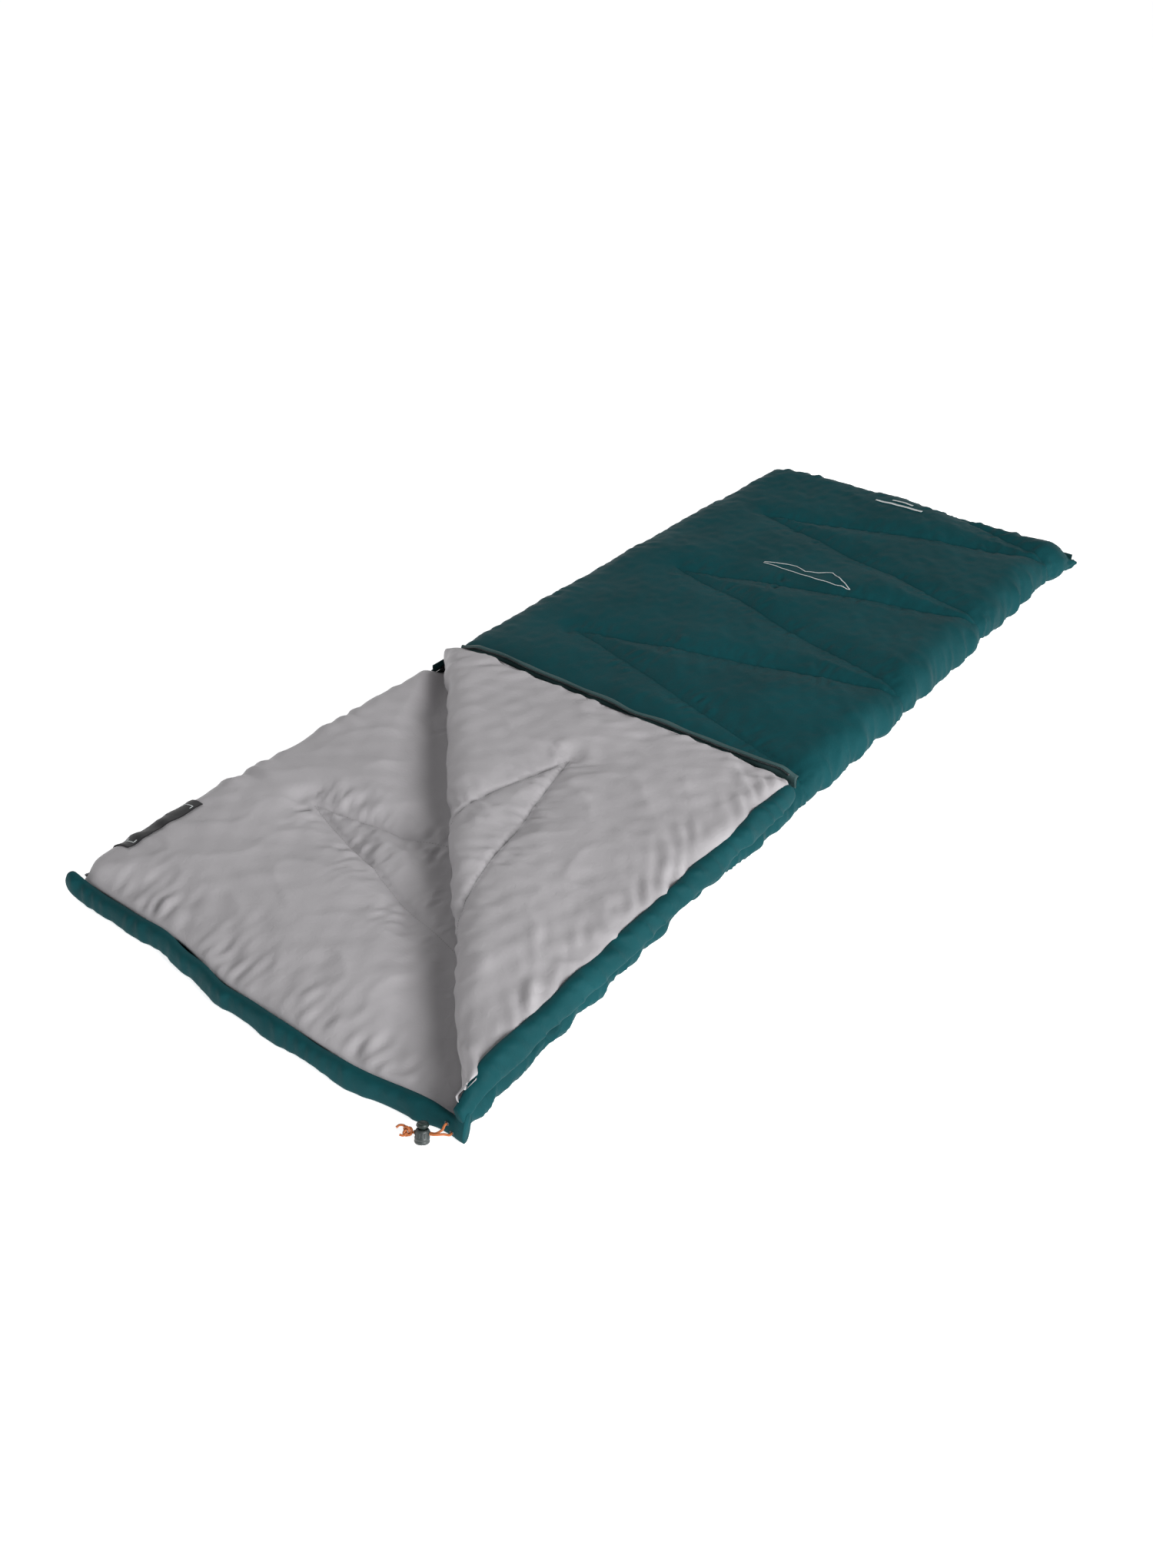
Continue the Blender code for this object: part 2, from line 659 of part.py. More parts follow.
def build():
    head_right, foot_right = Vector((RIGHT, HEAD)), Vector((RIGHT, FOOT))
    foot_left, head_left = Vector((LEFT, FOOT)), Vector((LEFT, HEAD))
    fold_left = Vector((LEFT, FOLD_Y))

    bottom = empty("bottom_quilt", (0, 0, 0))
    top = empty("top_quilt", (RIGHT, 0, MIDDLE))
    flap = empty("corner_flap", FOLD_AXIS_POINT)
    slider = empty("zip_slider", (TAPE_X, FOLD_Y + SLIDER_FROM_FOLD, MIDDLE))

    bottom_outline = [head_right, foot_right, foot_left, head_left]
    bottom_in = [FOLD_IN, ZIP_IN, ZIP_IN, BODY_IN]
    layer("bottom", bottom_outline, bottom_in, 0, False, bottom)
    layer("top", [head_right, foot_right, foot_left, fold_left], [FOLD_IN, ZIP_IN, ZIP_IN, FOLD_IN], 1, True, top)
    flat = layer("flap", [head_right, fold_left, head_left], [FOLD_IN, ZIP_IN, BODY_IN], 1, True, flap)

    cord_end = RIGHT - max(EYELET_X) - EYELET_RING - 2 * CORD_RADIUS
    hem = head_hem("bottom_head_hem", RIGHT - FOLD_IN - HEM_ROUND, 0, bottom)
    inner_cord("bottom_drawcord", cord_end, 0, bottom)
    flap_hem_end = RIGHT - 3 * BODY_IN
    flat += [
        head_hem("flap_head_hem", flap_hem_end, 1, flap),
        inner_cord("flap_drawcord", flap_hem_end - CLEAR, 1, flap),
    ]

    side_inset = Vector((-CLEAR, 0))
    fold_strip("side_fold_strip", head_right + side_inset + Vector((0, BODY_IN)),
               foot_right + side_inset - Vector((0, BODY_IN)), 0, TEAL, bottom)
    diagonal = (fold_left - head_right).normalized()
    short = 3 * BODY_IN
    fold_strip("flap_fold_strip", fold_left - diagonal * short, head_right + diagonal * short, 1, GREY, flap)

    coil_head = HEAD + ZIP_HEAD_END
    coil_foot_end = RIGHT - ZIP_FOOT_END
    zip_half("bottom", zip_path(coil_head, coil_foot_end), -1, bottom)
    zip_half("top", zip_path(FOLD_Y + CLEAR, coil_foot_end), 1, top)
    straight = [Vector((TAPE_X, coil_head)), Vector((TAPE_X, FOLD_Y - ZIP_DEPTH))]
    flat += zip_half("flap", straight, 1, flap)

    half = COIL_RADIUS + CLEAR
    stop_y = coil_head - CLEAR - STOP_LENGTH / 2
    zip_end_block("bottom_zip_stop", TAPE_X, stop_y, half, STOP_LENGTH / 2, -1, bottom)
    flat.append(zip_end_block("flap_zip_stop", TAPE_X, stop_y, half, STOP_LENGTH / 2, 1, flap))
    box_x = coil_foot_end + CLEAR + STOP_LENGTH
    zip_end_block("zip_retainer_box", box_x, TAPE_Y, STOP_LENGTH, half, -1, bottom)
    zip_end_block("zip_insertion_pin", box_x, TAPE_Y, STOP_LENGTH, half, 1, top)
    fold_back(flat)

    zip_slider(slider)
    pivot = Vector((TAPE_X - SLIDER_BORE - SLIDER_PLATE - (BAIL_RISE - BAIL_THICK) / 2,
                    FOLD_Y + SLIDER_FROM_FOLD, MIDDLE))
    pull = empty("zip_pull", pivot)
    zip_pull(pull, pivot)

    eyelets(hem, bottom)
    frame = lock_frame()
    lock = empty("cord_lock", frame.translation)
    button = empty("cord_lock_button", frame.translation)
    cord_lock(frame, lock, button)
    drawcord_outside(frame, bottom)
    woven_label(bottom_outline, bottom_in, bottom)


clear_scene()
PARTS = collection("camp_quilt")
CUTTERS = collection("cutters")
TEAL = material("teal_shell", (0.0065, 0.075, 0.078), 0.62)
GREY = material("grey_lining", (0.36, 0.35, 0.37), 0.5)
FIBRE = material("white_fibre", (0.8, 0.8, 0.78), 0.95)
TAPE = material("zip_tape", (0.006, 0.03, 0.032), 0.85)
COIL = material("zip_coil", (0.012, 0.016, 0.017), 0.45)
METAL = material("slider_metal", (0.08, 0.085, 0.09), 0.35, 1.0)
ORANGE = material("orange_cord", (0.75, 0.2, 0.05), 0.8)
LOCK = material("lock_plastic", (0.026, 0.045, 0.038), 0.45)
LOCK_TOP = material("lock_cap_plastic", (0.012, 0.022, 0.02), 0.4)
BLACK = material("woven_label", (0.02, 0.02, 0.021), 0.8)
build()
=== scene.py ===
"""Looks for the camp quilt: puffed quilted cloth, hems, zip, label and drawcord around the CAD frame.

Metres, +Z up. Head end at -Y, foot end at +Y, zipped side at -X, folded side at +X.
"""

import math

import bmesh
import bpy
import numpy as np
from mathutils import Matrix, Vector
from mathutils.bvhtree import BVHTree
from mathutils.geometry import delaunay_2d_cdt


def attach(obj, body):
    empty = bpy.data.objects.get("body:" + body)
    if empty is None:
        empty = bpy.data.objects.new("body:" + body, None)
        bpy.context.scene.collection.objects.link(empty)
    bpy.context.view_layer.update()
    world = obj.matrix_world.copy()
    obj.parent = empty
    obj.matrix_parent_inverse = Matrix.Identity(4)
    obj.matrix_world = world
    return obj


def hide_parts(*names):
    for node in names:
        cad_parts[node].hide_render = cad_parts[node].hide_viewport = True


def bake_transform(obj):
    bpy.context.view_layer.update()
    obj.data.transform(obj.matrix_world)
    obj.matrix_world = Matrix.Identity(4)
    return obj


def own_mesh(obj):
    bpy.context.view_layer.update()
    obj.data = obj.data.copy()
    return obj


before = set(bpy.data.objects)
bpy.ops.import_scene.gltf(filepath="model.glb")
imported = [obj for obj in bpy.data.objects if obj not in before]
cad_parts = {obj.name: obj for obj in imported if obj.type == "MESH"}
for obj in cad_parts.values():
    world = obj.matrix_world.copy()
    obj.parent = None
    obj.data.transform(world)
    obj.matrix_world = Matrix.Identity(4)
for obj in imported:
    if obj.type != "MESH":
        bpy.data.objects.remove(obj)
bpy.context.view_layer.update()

# ---- the frame's own places ----
LEFT, RIGHT, HEAD, FOOT = -0.375, 0.375, -0.95, 0.95
WIDTH, LENGTH = RIGHT - LEFT, FOOT - HEAD
MIDDLE = 0.0278  # height of the seam round the foot end
RIM_X, RIM_Y, HEM_Y = -0.3657, 0.9407, -0.938  # where the cloth meets the zip tape and the hem
LOW_SEAM, TOP_SEAM, FLAP_SEAM = 0.0135, 0.0421, 0.0707  # heights of the three layers' edge seams
SEAM_IN = 0.0008  # how far an underside starts below its seam
CLOTH = 0.0006
GROUND = 0.0004  # the lowest that cloth may lie
EDGE = 0.03  # how far in from an edge the filling takes to reach its height
STEP = 0.0055  # between points where the cloth shows
COARSE = 0.013  # and where it doesn't
RINGS = (0.0012, 0.0045, 0.0095)  # rows of points this far in from each edge
HEM_STEP = 0.0035
FAR_OFF = 9.0
MM = 0.001
ROUND = 2 * math.pi

# ---- the corners of the folded-back flap, as it lies: near the drawcord, at the zip, and its tip ----
FLAP_R = np.array((0.372, -0.944))
FLAP_P = np.array((-0.364, -0.162))
FLAP_Q = np.array((0.355, -0.167))


# ---- numbers ----


def ramp(x, low, high):
    """0 up to low, 1 from high, smooth between."""
    t = np.clip((np.asarray(x, float) - low) / (high - low), 0, 1)
    return t * t * (3 - 2 * t)


def unit(v):
    return v / np.linalg.norm(v, axis=-1, keepdims=True)


def waves(points, size, seed, count=26):
    """Smooth random heights, about -1 to 1, with features of about that size."""
    points = np.asarray(points, float)
    rng = np.random.default_rng(seed)
    k = unit(rng.normal(size=(count, points.shape[1])))
    k *= ROUND / size * rng.uniform(0.55, 1.5, (count, 1))
    phase = rng.uniform(0, ROUND, count)
    return np.cos(points @ k.T + phase).sum(1) / math.sqrt(count)


def creases(points, size, seed):
    """Sharp-topped folds: the same waves, pinched along their zero lines."""
    w = waves(points, size, seed)
    return 0.6 - np.sqrt(np.abs(w) + 0.02)


def to_lines(points, lines):
    """Distance to the nearest line, and how far along the lines that is."""
    best = np.full(len(points), FAR_OFF)
    along = np.zeros(len(points))
    start = 0.0
    for a, b in lines:
        a, b = np.asarray(a, float), np.asarray(b, float)
        run = b - a
        length = np.linalg.norm(run)
        t = np.clip((points - a) @ run / length**2, 0, 1)
        d = np.linalg.norm(points - a - t[:, None] * run, axis=1)
        near = d < best
        best[near] = d[near]
        along[near] = start + t[near] * length
        start += length + 0.37
    return best, along


def puckers(distance, along, reach, size, seed):
    """Short folds that fan out from a stitched line, flat at the stitches and fading away from them."""
    fan = waves(np.column_stack([along, distance * 0.4]), size, seed)
    some = 0.55 + 0.45 * waves(along[:, None], size * 7, seed + 1)
    away = distance / reach
    return fan * np.clip(some, 0, 1.4) * away * np.exp(1 - away)


def valley(distance, depth, width=0.034):
    """How deep the quilting pulls the cloth in at a distance from its stitches."""
    return depth * (0.42 * np.exp(-distance / 0.0055) + 0.58 * np.exp(-((distance / width) ** 2)))


# ---- quilting lines ----


def zigzag():
    """Stitched lines of the flat quilt, in metres from its zipped side and its head."""
    lines, apex, pitch, first = [], 0.155, 0.325, 0.1675
    for n in range(6):
        peak = (apex, 0.33 + pitch * n)
        for node in (first + pitch * n, first + pitch * (n + 1)):
            if node < LENGTH + 0.16:
                lines.append((peak, (WIDTH, node)))
    return lines


def flat_lines():
    """The same in the frame, for layers that lie unfolded."""
    return [((LEFT + a[0], HEAD + a[1]), (LEFT + b[0], HEAD + b[1])) for a, b in zigzag()]


def sides(outline):
    """Each side's first corner and inward normal."""
    for p, q in zip(outline, np.roll(outline, -1, axis=0)):
        yield p, np.array((-(q - p)[1], (q - p)[0])) / np.linalg.norm(q - p)


def clip_line(a, b, outline, inner=0.004):
    """The part of a line inside a convex outline, or None."""
    a, b = np.asarray(a, float), np.asarray(b, float)
    low, high = 0.0, 1.0
    for p, normal in sides(outline):
        da, db = (a - p) @ normal - inner, (b - p) @ normal - inner
        if da < 0 and db < 0:
            return None
        if da < 0:
            low = max(low, da / (da - db))
        elif db < 0:
            high = min(high, da / (da - db))
    if high - low < 0.01:
        return None
    return a + (b - a) * low, a + (b - a) * high


# ---- meshes ----


def rounded(corners, radii, step=math.radians(12)):
    """A convex outline with round corners, counterclockwise."""
    made = []
    count = len(corners)
    for n in range(count):
        here = np.asarray(corners[n], float)
        back = unit(np.asarray(corners[n - 1], float) - here)
        on = unit(np.asarray(corners[(n + 1) % count], float) - here)
        half = math.acos(np.clip(back @ on, -1, 1)) / 2
        radius = radii[n]
        middle = here + unit(back + on) * radius / math.sin(half)
        first = here + back * radius / math.tan(half)
        a0 = math.atan2(*(first - middle)[::-1])
        sweep = math.pi - 2 * half
        steps = max(2, round(sweep / step))
        for s in range(steps + 1):
            a = a0 + sweep * s / steps
            made.append(middle + radius * np.array((math.cos(a), math.sin(a))))
    return np.array(made)


def sampled(outline, spacing):
    made = []
    for p, q in zip(outline, np.roll(outline, -1, axis=0)):
        steps = max(1, round(np.linalg.norm(q - p) / spacing))
        made.extend(p + (q - p) * s / steps for s in range(steps))
    return np.array(made)


def edge_distance(points, outline):
    """Distance inside a convex outline, negative outside."""
    best = np.full(len(points), FAR_OFF)
    for p, normal in sides(outline):
        best = np.minimum(best, (points - p) @ normal)
    return best


def grid(outline, spacing, keep):
    """A hexagonal grid of points inside an outline, where keep says so."""
    low, high = outline.min(0), outline.max(0)
    rows = np.arange(low[1], high[1], spacing * math.sqrt(3) / 2)
    columns = np.arange(low[0], high[0] + spacing, spacing)
    x, y = np.meshgrid(columns, rows)
    x = x + (np.arange(len(rows)) % 2)[:, None] * spacing / 2
    points = np.column_stack([x.ravel(), y.ravel()])
    return points[keep(points)]


def flat_mesh(outline, lines, fine):
    """Triangles over a convex outline, with edges along the lines. fine(points) says where the close spacing is."""
    rim = sampled(outline, STEP)
    loops = [rim]
    for depth in RINGS:
        ahead, behind = np.roll(rim, -1, axis=0), np.roll(rim, 1, axis=0)
        tangent = unit(ahead - behind)
        loop = rim + depth * np.column_stack([-tangent[:, 1], tangent[:, 0]])
        inside = edge_distance(loop, outline) > depth * 0.8
        loops.append(loop[inside])

    def away(points, gap):
        good = edge_distance(points, outline) > RINGS[-1] + gap * 0.55
        return good & (to_lines(points, lines)[0] > gap * 0.5)

    close = grid(outline, STEP, lambda p: fine(p) & away(p, STEP))
    loose = grid(outline, COARSE, lambda p: ~fine(p) & away(p, COARSE))
    points = [np.concatenate(loops)]
    edges = [(n, (n + 1) % len(rim)) for n in range(len(rim))]
    total = len(points[0])
    for a, b in lines:
        steps = max(2, round(np.linalg.norm(b - a) / STEP))
        run = a + (b - a) * np.linspace(0, 1, steps + 1)[:, None]
        points.append(run)
        edges.extend((total + n, total + n + 1) for n in range(steps))
        total += steps + 1
    points.extend([close, loose])
    flat = np.concatenate(points)
    made = delaunay_2d_cdt([Vector(p) for p in flat], edges, [], 0, 1e-6, False)
    where = np.array([tuple(v) for v in made[0]])
    faces = np.array([f for f in made[2] if len(f) == 3])
    a, b, c = (where[faces[:, n]] for n in range(3))
    area = (b - a)[:, 0] * (c - a)[:, 1] - (b - a)[:, 1] * (c - a)[:, 0]
    faces = faces[np.abs(area) > 1e-10]
    return where, faces


def normals_of(points, faces):
    a, b, c = (points[faces[:, n]] for n in range(3))
    face = np.cross(b - a, c - a)
    total = np.zeros_like(points)
    for n in range(3):
        np.add.at(total, faces[:, n], face)
    return total / np.maximum(np.linalg.norm(total, axis=1, keepdims=True), 1e-12)


def to_object(name, points, faces, material, smooth=True):
    mesh = bpy.data.meshes.new(name)
    mesh.from_pydata([tuple(p) for p in points], [], [tuple(int(i) for i in f) for f in faces])
    mesh.update()
    mesh.polygons.foreach_set("use_smooth", [smooth] * len(mesh.polygons))
    mesh.materials.append(material)
    made = bpy.data.objects.new(name, mesh)
    bpy.context.scene.collection.objects.link(made)
    return made


def thicken(made, thickness=CLOTH):
    solid = made.modifiers.new("thickness", "SOLIDIFY")
    solid.thickness = thickness
    solid.offset = -1
    return made


class Surface:
    """A cloth's shape: where each point of its flat plan lies, and how far it is raised there.

    place(p) takes points of the plan. raised(p, d, along, rim, where) also takes their distance from the
    stitching and how far along it they are, their distance from the rim, and where they lie.
    """

    def __init__(self, outline, lines, place, raised, up=True):
        self.outline, self.place, self.raised = outline, place, raised
        self.facing = 1 if up else -1
        self.lines = [c for c in (clip_line(a, b, outline) for a, b in lines) if c is not None]

    def height(self, flat, where):
        return self.raised(flat, *to_lines(flat, self.lines), edge_distance(flat, self.outline), where)

    def cloth(self, name, fine, material):
        """The cloth's own mesh, with the close spacing where fine(points) says."""
        flat, faces = flat_mesh(self.outline, self.lines, fine)
        points = self.place(flat)
        if self.facing < 0:
            faces = faces[:, ::-1]
        points = points + normals_of(points, faces) * self.height(flat, points)[:, None]
        points[:, 2] = np.maximum(points[:, 2], GROUND)
        self.tree = BVHTree.FromPolygons([tuple(p) for p in points], [tuple(int(n) for n in f) for f in faces])
        return thicken(to_object(name, points, faces, material))

    def at(self, flat, proud=0.0):
        """Places on the finished cloth, raised a little, for details sewn or printed on it."""
        shape = flat.shape[:-1]
        flat = flat.reshape(-1, 2)
        step, reach = 0.0008, 0.006
        where = self.place(flat)
        one = self.place(flat + (step, 0)) - where
        other = self.place(flat + (0, step)) - where
        normal = unit(np.cross(one, other)) * self.facing
        where = where + normal * self.height(flat, where)[:, None]
        for n, (p, up) in enumerate(zip(where, normal)):
            hit = self.tree.ray_cast(Vector(p + up * reach), Vector(-up), 2 * reach)[0]
            if hit is not None:
                where[n] = hit
        where = where + normal * proud
        return where.reshape(*shape, 3), normal.reshape(*shape, 3)


def patch(name, surface, flat, proud, thickness, material):
    """A thin piece on a cloth, from a grid of its flat plan."""
    points, _ = surface.at(flat, proud)
    rows, columns = flat.shape[:2]
    index = np.arange(rows * columns).reshape(rows, columns)
    faces = np.stack([index[:-1, :-1], index[:-1, 1:], index[1:, 1:], index[1:, :-1]], -1).reshape(-1, 4)
    made = to_object(name, points.reshape(-1, 3), faces, material)
    return thicken(made, thickness)


def band(points, width, rows=3):
    """The grid of a narrow strip along a polyline of the flat plan."""
    points = np.asarray(points, float)
    steps = [points[:1]]
    for a, b in zip(points[:-1], points[1:]):
        count = max(1, round(np.linalg.norm(b - a) / 0.003))
        steps.append(a + (b - a) * np.linspace(0, 1, count + 1)[1:, None])
    run = np.concatenate(steps)
    tangent = unit(np.gradient(run, axis=0))
    side = np.column_stack([-tangent[:, 1], tangent[:, 0]])
    return np.stack([run + side * width * s for s in np.linspace(-0.5, 0.5, rows)], 1)


STITCH_FACES = ((0, 1, 4), (1, 2, 4), (2, 3, 4), (3, 0, 4), (1, 0, 5), (2, 1, 5), (3, 2, 5), (0, 3, 5))


def stitches(name, surface, lines, material, pitch=0.0046, length=0.003, thick=0.0004):
    """Short raised threads along stitched lines."""
    points, faces = [], []
    for a, b in lines:
        count = int(np.linalg.norm(b - a) / pitch)
        middle = a + (b - a) * ((np.arange(count) + 0.5) / count)[:, None]
        tangent = unit(b - a)
        ends = np.stack([middle - tangent * length / 2, middle, middle + tangent * length / 2], 1)
        where, normal = surface.at(ends, 0.0002)
        for (first, centre, last), lift in zip(where, normal[:, 1]):
            across = np.cross(lift, last - first)
            across = across / max(np.linalg.norm(across), 1e-9) * thick
            start = len(points)
            points.extend([first, centre + across, last, centre - across])
            points.extend([centre + lift * thick * 1.3, centre - lift * thick])
            faces.extend(tuple(start + n for n in face) for face in STITCH_FACES)
    return to_object(name, points, faces, material, smooth=False)


def loft(name, rows, material):
    """A closed form through rings of points, with its ends filled."""
    rows = np.asarray(rows, float)
    count, around = rows.shape[:2]
    index = np.arange(count * around).reshape(count, around)
    after = np.roll(index, -1, axis=1)
    faces = [tuple(f) for f in np.stack([index[:-1], after[:-1], after[1:], index[1:]], -1).reshape(-1, 4)]
    points = np.concatenate([rows.reshape(-1, 3), rows[:1].mean(1), rows[-1:].mean(1)])
    for n in range(around):
        faces.append((count * around, after[0, n], index[0, n]))
        faces.append((count * around + 1, index[-1, n], after[-1, n]))
    made = to_object(name, points, faces, material)
    mesh = bmesh.new()
    mesh.from_mesh(made.data)
    bmesh.ops.recalc_face_normals(mesh, faces=mesh.faces)
    mesh.to_mesh(made.data)
    mesh.free()
    return made


def spline(name, points, radius, material, sides, closed=False):
    """A round cord or wire along points."""
    curve = bpy.data.curves.new(name, "CURVE")
    curve.dimensions = "3D"
    curve.bevel_depth = radius
    curve.bevel_resolution = sides
    curve.use_fill_caps = True
    line = curve.splines.new("POLY")
    line.points.add(len(points) - 1)
    for spot, p in zip(line.points, points):
        spot.co = (*p, 1)
    line.use_cyclic_u = closed
    line.use_smooth = True
    curve.materials.append(material)
    made = bpy.data.objects.new(name, curve)
    bpy.context.scene.collection.objects.link(made)
    return made


def through(points, per):
    """A smooth line through points."""
    p = np.asarray(points, float)
    p = np.concatenate([[2 * p[0] - p[1]], p, [2 * p[-1] - p[-2]]])
    t = (np.arange(per) / per)[:, None]
    made = [
        0.5 * (2 * b + (c - a) * t + (2 * a - 5 * b + 4 * c - d) * t**2 + (3 * b - a - 3 * c + d) * t**3)
        for a, b, c, d in zip(p, p[1:], p[2:], p[3:])
    ]
    return np.concatenate([*made, [p[-2]]])


def quarter(distance, reach):
    """0 at an edge, 1 from reach inwards, as a quarter of a circle."""
    t = 1 - np.clip(distance / reach, 0, 1)
    return np.sqrt(np.maximum(1 - t * t, 0))


# ---- materials ----


def set_inputs(node, **values):
    """Sets a node's sockets. Their names are written with _ for a space."""
    for name, value in values.items():
        node.inputs[name.replace("_", " ")].default_value = value
    return node


def add_node(tree, kind, source=None, into=None, **values):
    """A new node, with one socket fed from another node's output."""
    made = set_inputs(tree.nodes.new("ShaderNode" + kind), **values)
    if source is not None:
        tree.links.new(source, made.inputs[into])
    return made


def new_material(name, **values):
    made = bpy.data.materials.new(name)
    made.use_nodes = True
    tree = made.node_tree
    where = add_node(tree, "TexCoord").outputs["Object"]
    return made, tree, set_inputs(tree.nodes["Principled BSDF"], **values), where


def two_tones(tree, source, colour, shade, ends):
    """The colour, a little darker or lighter as the source goes."""
    tones = add_node(tree, "ValToRGB", source, "Fac")
    for stop, position, change in zip(tones.color_ramp.elements, ends, (1 - shade, 1 + shade)):
        stop.position = position
        stop.color = (*[c * change for c in colour], 1)
    return tones.outputs["Color"]


def feed_roughness(tree, shader, source, low, high):
    gloss = add_node(tree, "MapRange", source, "Value", To_Min=low, To_Max=high)
    tree.links.new(gloss.outputs["Result"], shader.inputs["Roughness"])


def fabric(name, colour, rough, sheen, spec, crinkle, grain, shade):
    """Woven polyester: slow changes of shade, small crinkles and a fine weave."""
    tint = (*[min(1, c * 1.5 + 0.2) for c in colour], 1)
    made, tree, shader, where = new_material(
        name, Specular_IOR_Level=spec, Sheen_Weight=sheen, Sheen_Roughness=0.35, Sheen_Tint=tint
    )
    slow = add_node(tree, "TexNoise", where, "Vector", Scale=9, Detail=4).outputs["Fac"]
    tones = two_tones(tree, slow, colour, shade, (0.3, 0.7))

    weave = add_node(tree, "Math")
    weave.operation = "MAXIMUM"
    for n, turn in enumerate((0, math.pi / 2)):
        spin = add_node(tree, "Mapping", where, "Vector", Rotation=(0, 0, turn))
        wave = add_node(
            tree, "TexWave", spin.outputs["Vector"], "Vector", Scale=grain, Distortion=0.6, Detail=1, Detail_Scale=2
        )
        tree.links.new(wave.outputs["Fac"], weave.inputs[n])
    mixed = add_node(tree, "Mix", Factor=0.1)
    mixed.data_type, mixed.blend_type = "RGBA", "MULTIPLY"
    # the colour sockets of a Mix node share their names with its other kinds, so they go by number
    tree.links.new(tones, mixed.inputs[6])
    tree.links.new(weave.outputs[0], mixed.inputs[7])
    tree.links.new(mixed.outputs[2], shader.inputs["Base Color"])
    feed_roughness(tree, shader, slow, rough - 0.05, rough + 0.06)

    small = add_node(tree, "TexNoise", where, "Vector", Scale=95, Detail=3, Distortion=0.7)
    soft = add_node(tree, "Bump", small.outputs["Fac"], "Height", Strength=crinkle, Distance=0.0012)
    fine = add_node(tree, "Bump", weave.outputs[0], "Height", Strength=0.12, Distance=0.00015)
    tree.links.new(soft.outputs["Normal"], fine.inputs["Normal"])
    tree.links.new(fine.outputs["Normal"], shader.inputs["Normal"])
    return made


def moulded(name, colour, rough, metallic=0.0, spec=0.4):
    """Plastic or metal with a faint mottle and worn gloss."""
    made, tree, shader, where = new_material(name, Metallic=metallic, Specular_IOR_Level=spec)
    mottle = add_node(tree, "TexNoise", where, "Vector", Scale=240, Detail=3).outputs["Fac"]
    tree.links.new(two_tones(tree, mottle, colour, 0.2, (0, 1)), shader.inputs["Base Color"])
    feed_roughness(tree, shader, mottle, rough - 0.08, rough + 0.08)
    bump = add_node(tree, "Bump", mottle, "Height", Strength=0.15, Distance=0.0002)
    tree.links.new(bump.outputs["Normal"], shader.inputs["Normal"])
    return made


TEAL = fabric("teal_shell", (0.006, 0.059, 0.068), 0.58, 0.02, 0.06, 0.6, 420, 0.12)
GREY = fabric("grey_lining", (0.44, 0.425, 0.44), 0.5, 0.06, 0.16, 0.55, 420, 0.035)
TAPE_DARK = fabric("zip_tape_dark", (0.014, 0.052, 0.056), 0.6, 0.05, 0.15, 0.2, 900, 0.08)
TAPE = fabric("zip_tape", (0.05, 0.098, 0.1), 0.6, 0.1, 0.2, 0.2, 900, 0.08)
LABEL = fabric("woven_label", (0.02, 0.02, 0.022), 0.55, 0.1, 0.25, 0.2, 900, 0.08)
COIL = moulded("zip_coil", (0.01, 0.018, 0.02), 0.35, spec=0.5)
METAL = moulded("slider_metal", (0.09, 0.095, 0.1), 0.38, metallic=0.85)
CORD = fabric("orange_cord", (0.44, 0.135, 0.045), 0.6, 0.25, 0.25, 0.3, 700, 0.12)
LOCK = moulded("lock_plastic", (0.042, 0.052, 0.052), 0.42, spec=0.5)
LOCK_TOP = moulded("lock_cap_plastic", (0.018, 0.032, 0.028), 0.4, spec=0.5)
THREAD = moulded("seam_thread", (0.01, 0.05, 0.055), 0.6, spec=0.2)
GREY_THREAD = moulded("lining_thread", (0.25, 0.245, 0.25), 0.6, spec=0.2)
WHITE = moulded("print_ink", (0.62, 0.66, 0.66), 0.55, spec=0.2)


# ---- camera and light ----


def look_at(thing, target):
    thing.rotation_mode = "QUATERNION"
    thing.rotation_quaternion = (Vector(target) - thing.location).to_track_quat("-Z", "Y")


def make_camera():
    azimuth, elevation, distance = 0.66209, 0.60224, 2.11291
    target = Vector((0.06762, -0.34225, 0.05))
    level = math.cos(elevation)
    back = Vector((math.sin(azimuth) * level, -math.cos(azimuth) * level, math.sin(elevation)))
    camera = bpy.data.objects.new("camera", bpy.data.cameras.new("camera"))
    bpy.context.scene.collection.objects.link(camera)
    camera.data.sensor_width = 36
    camera.data.lens = 31.496
    camera.location = target + back * distance
    look_at(camera, target)
    bpy.context.scene.camera = camera


def area_light(name, place, target, size, power):
    light = bpy.data.lights.new(name, "AREA")
    light.size = size
    light.energy = power
    made = bpy.data.objects.new(name, light)
    bpy.context.scene.collection.objects.link(made)
    made.location = place
    look_at(made, target)


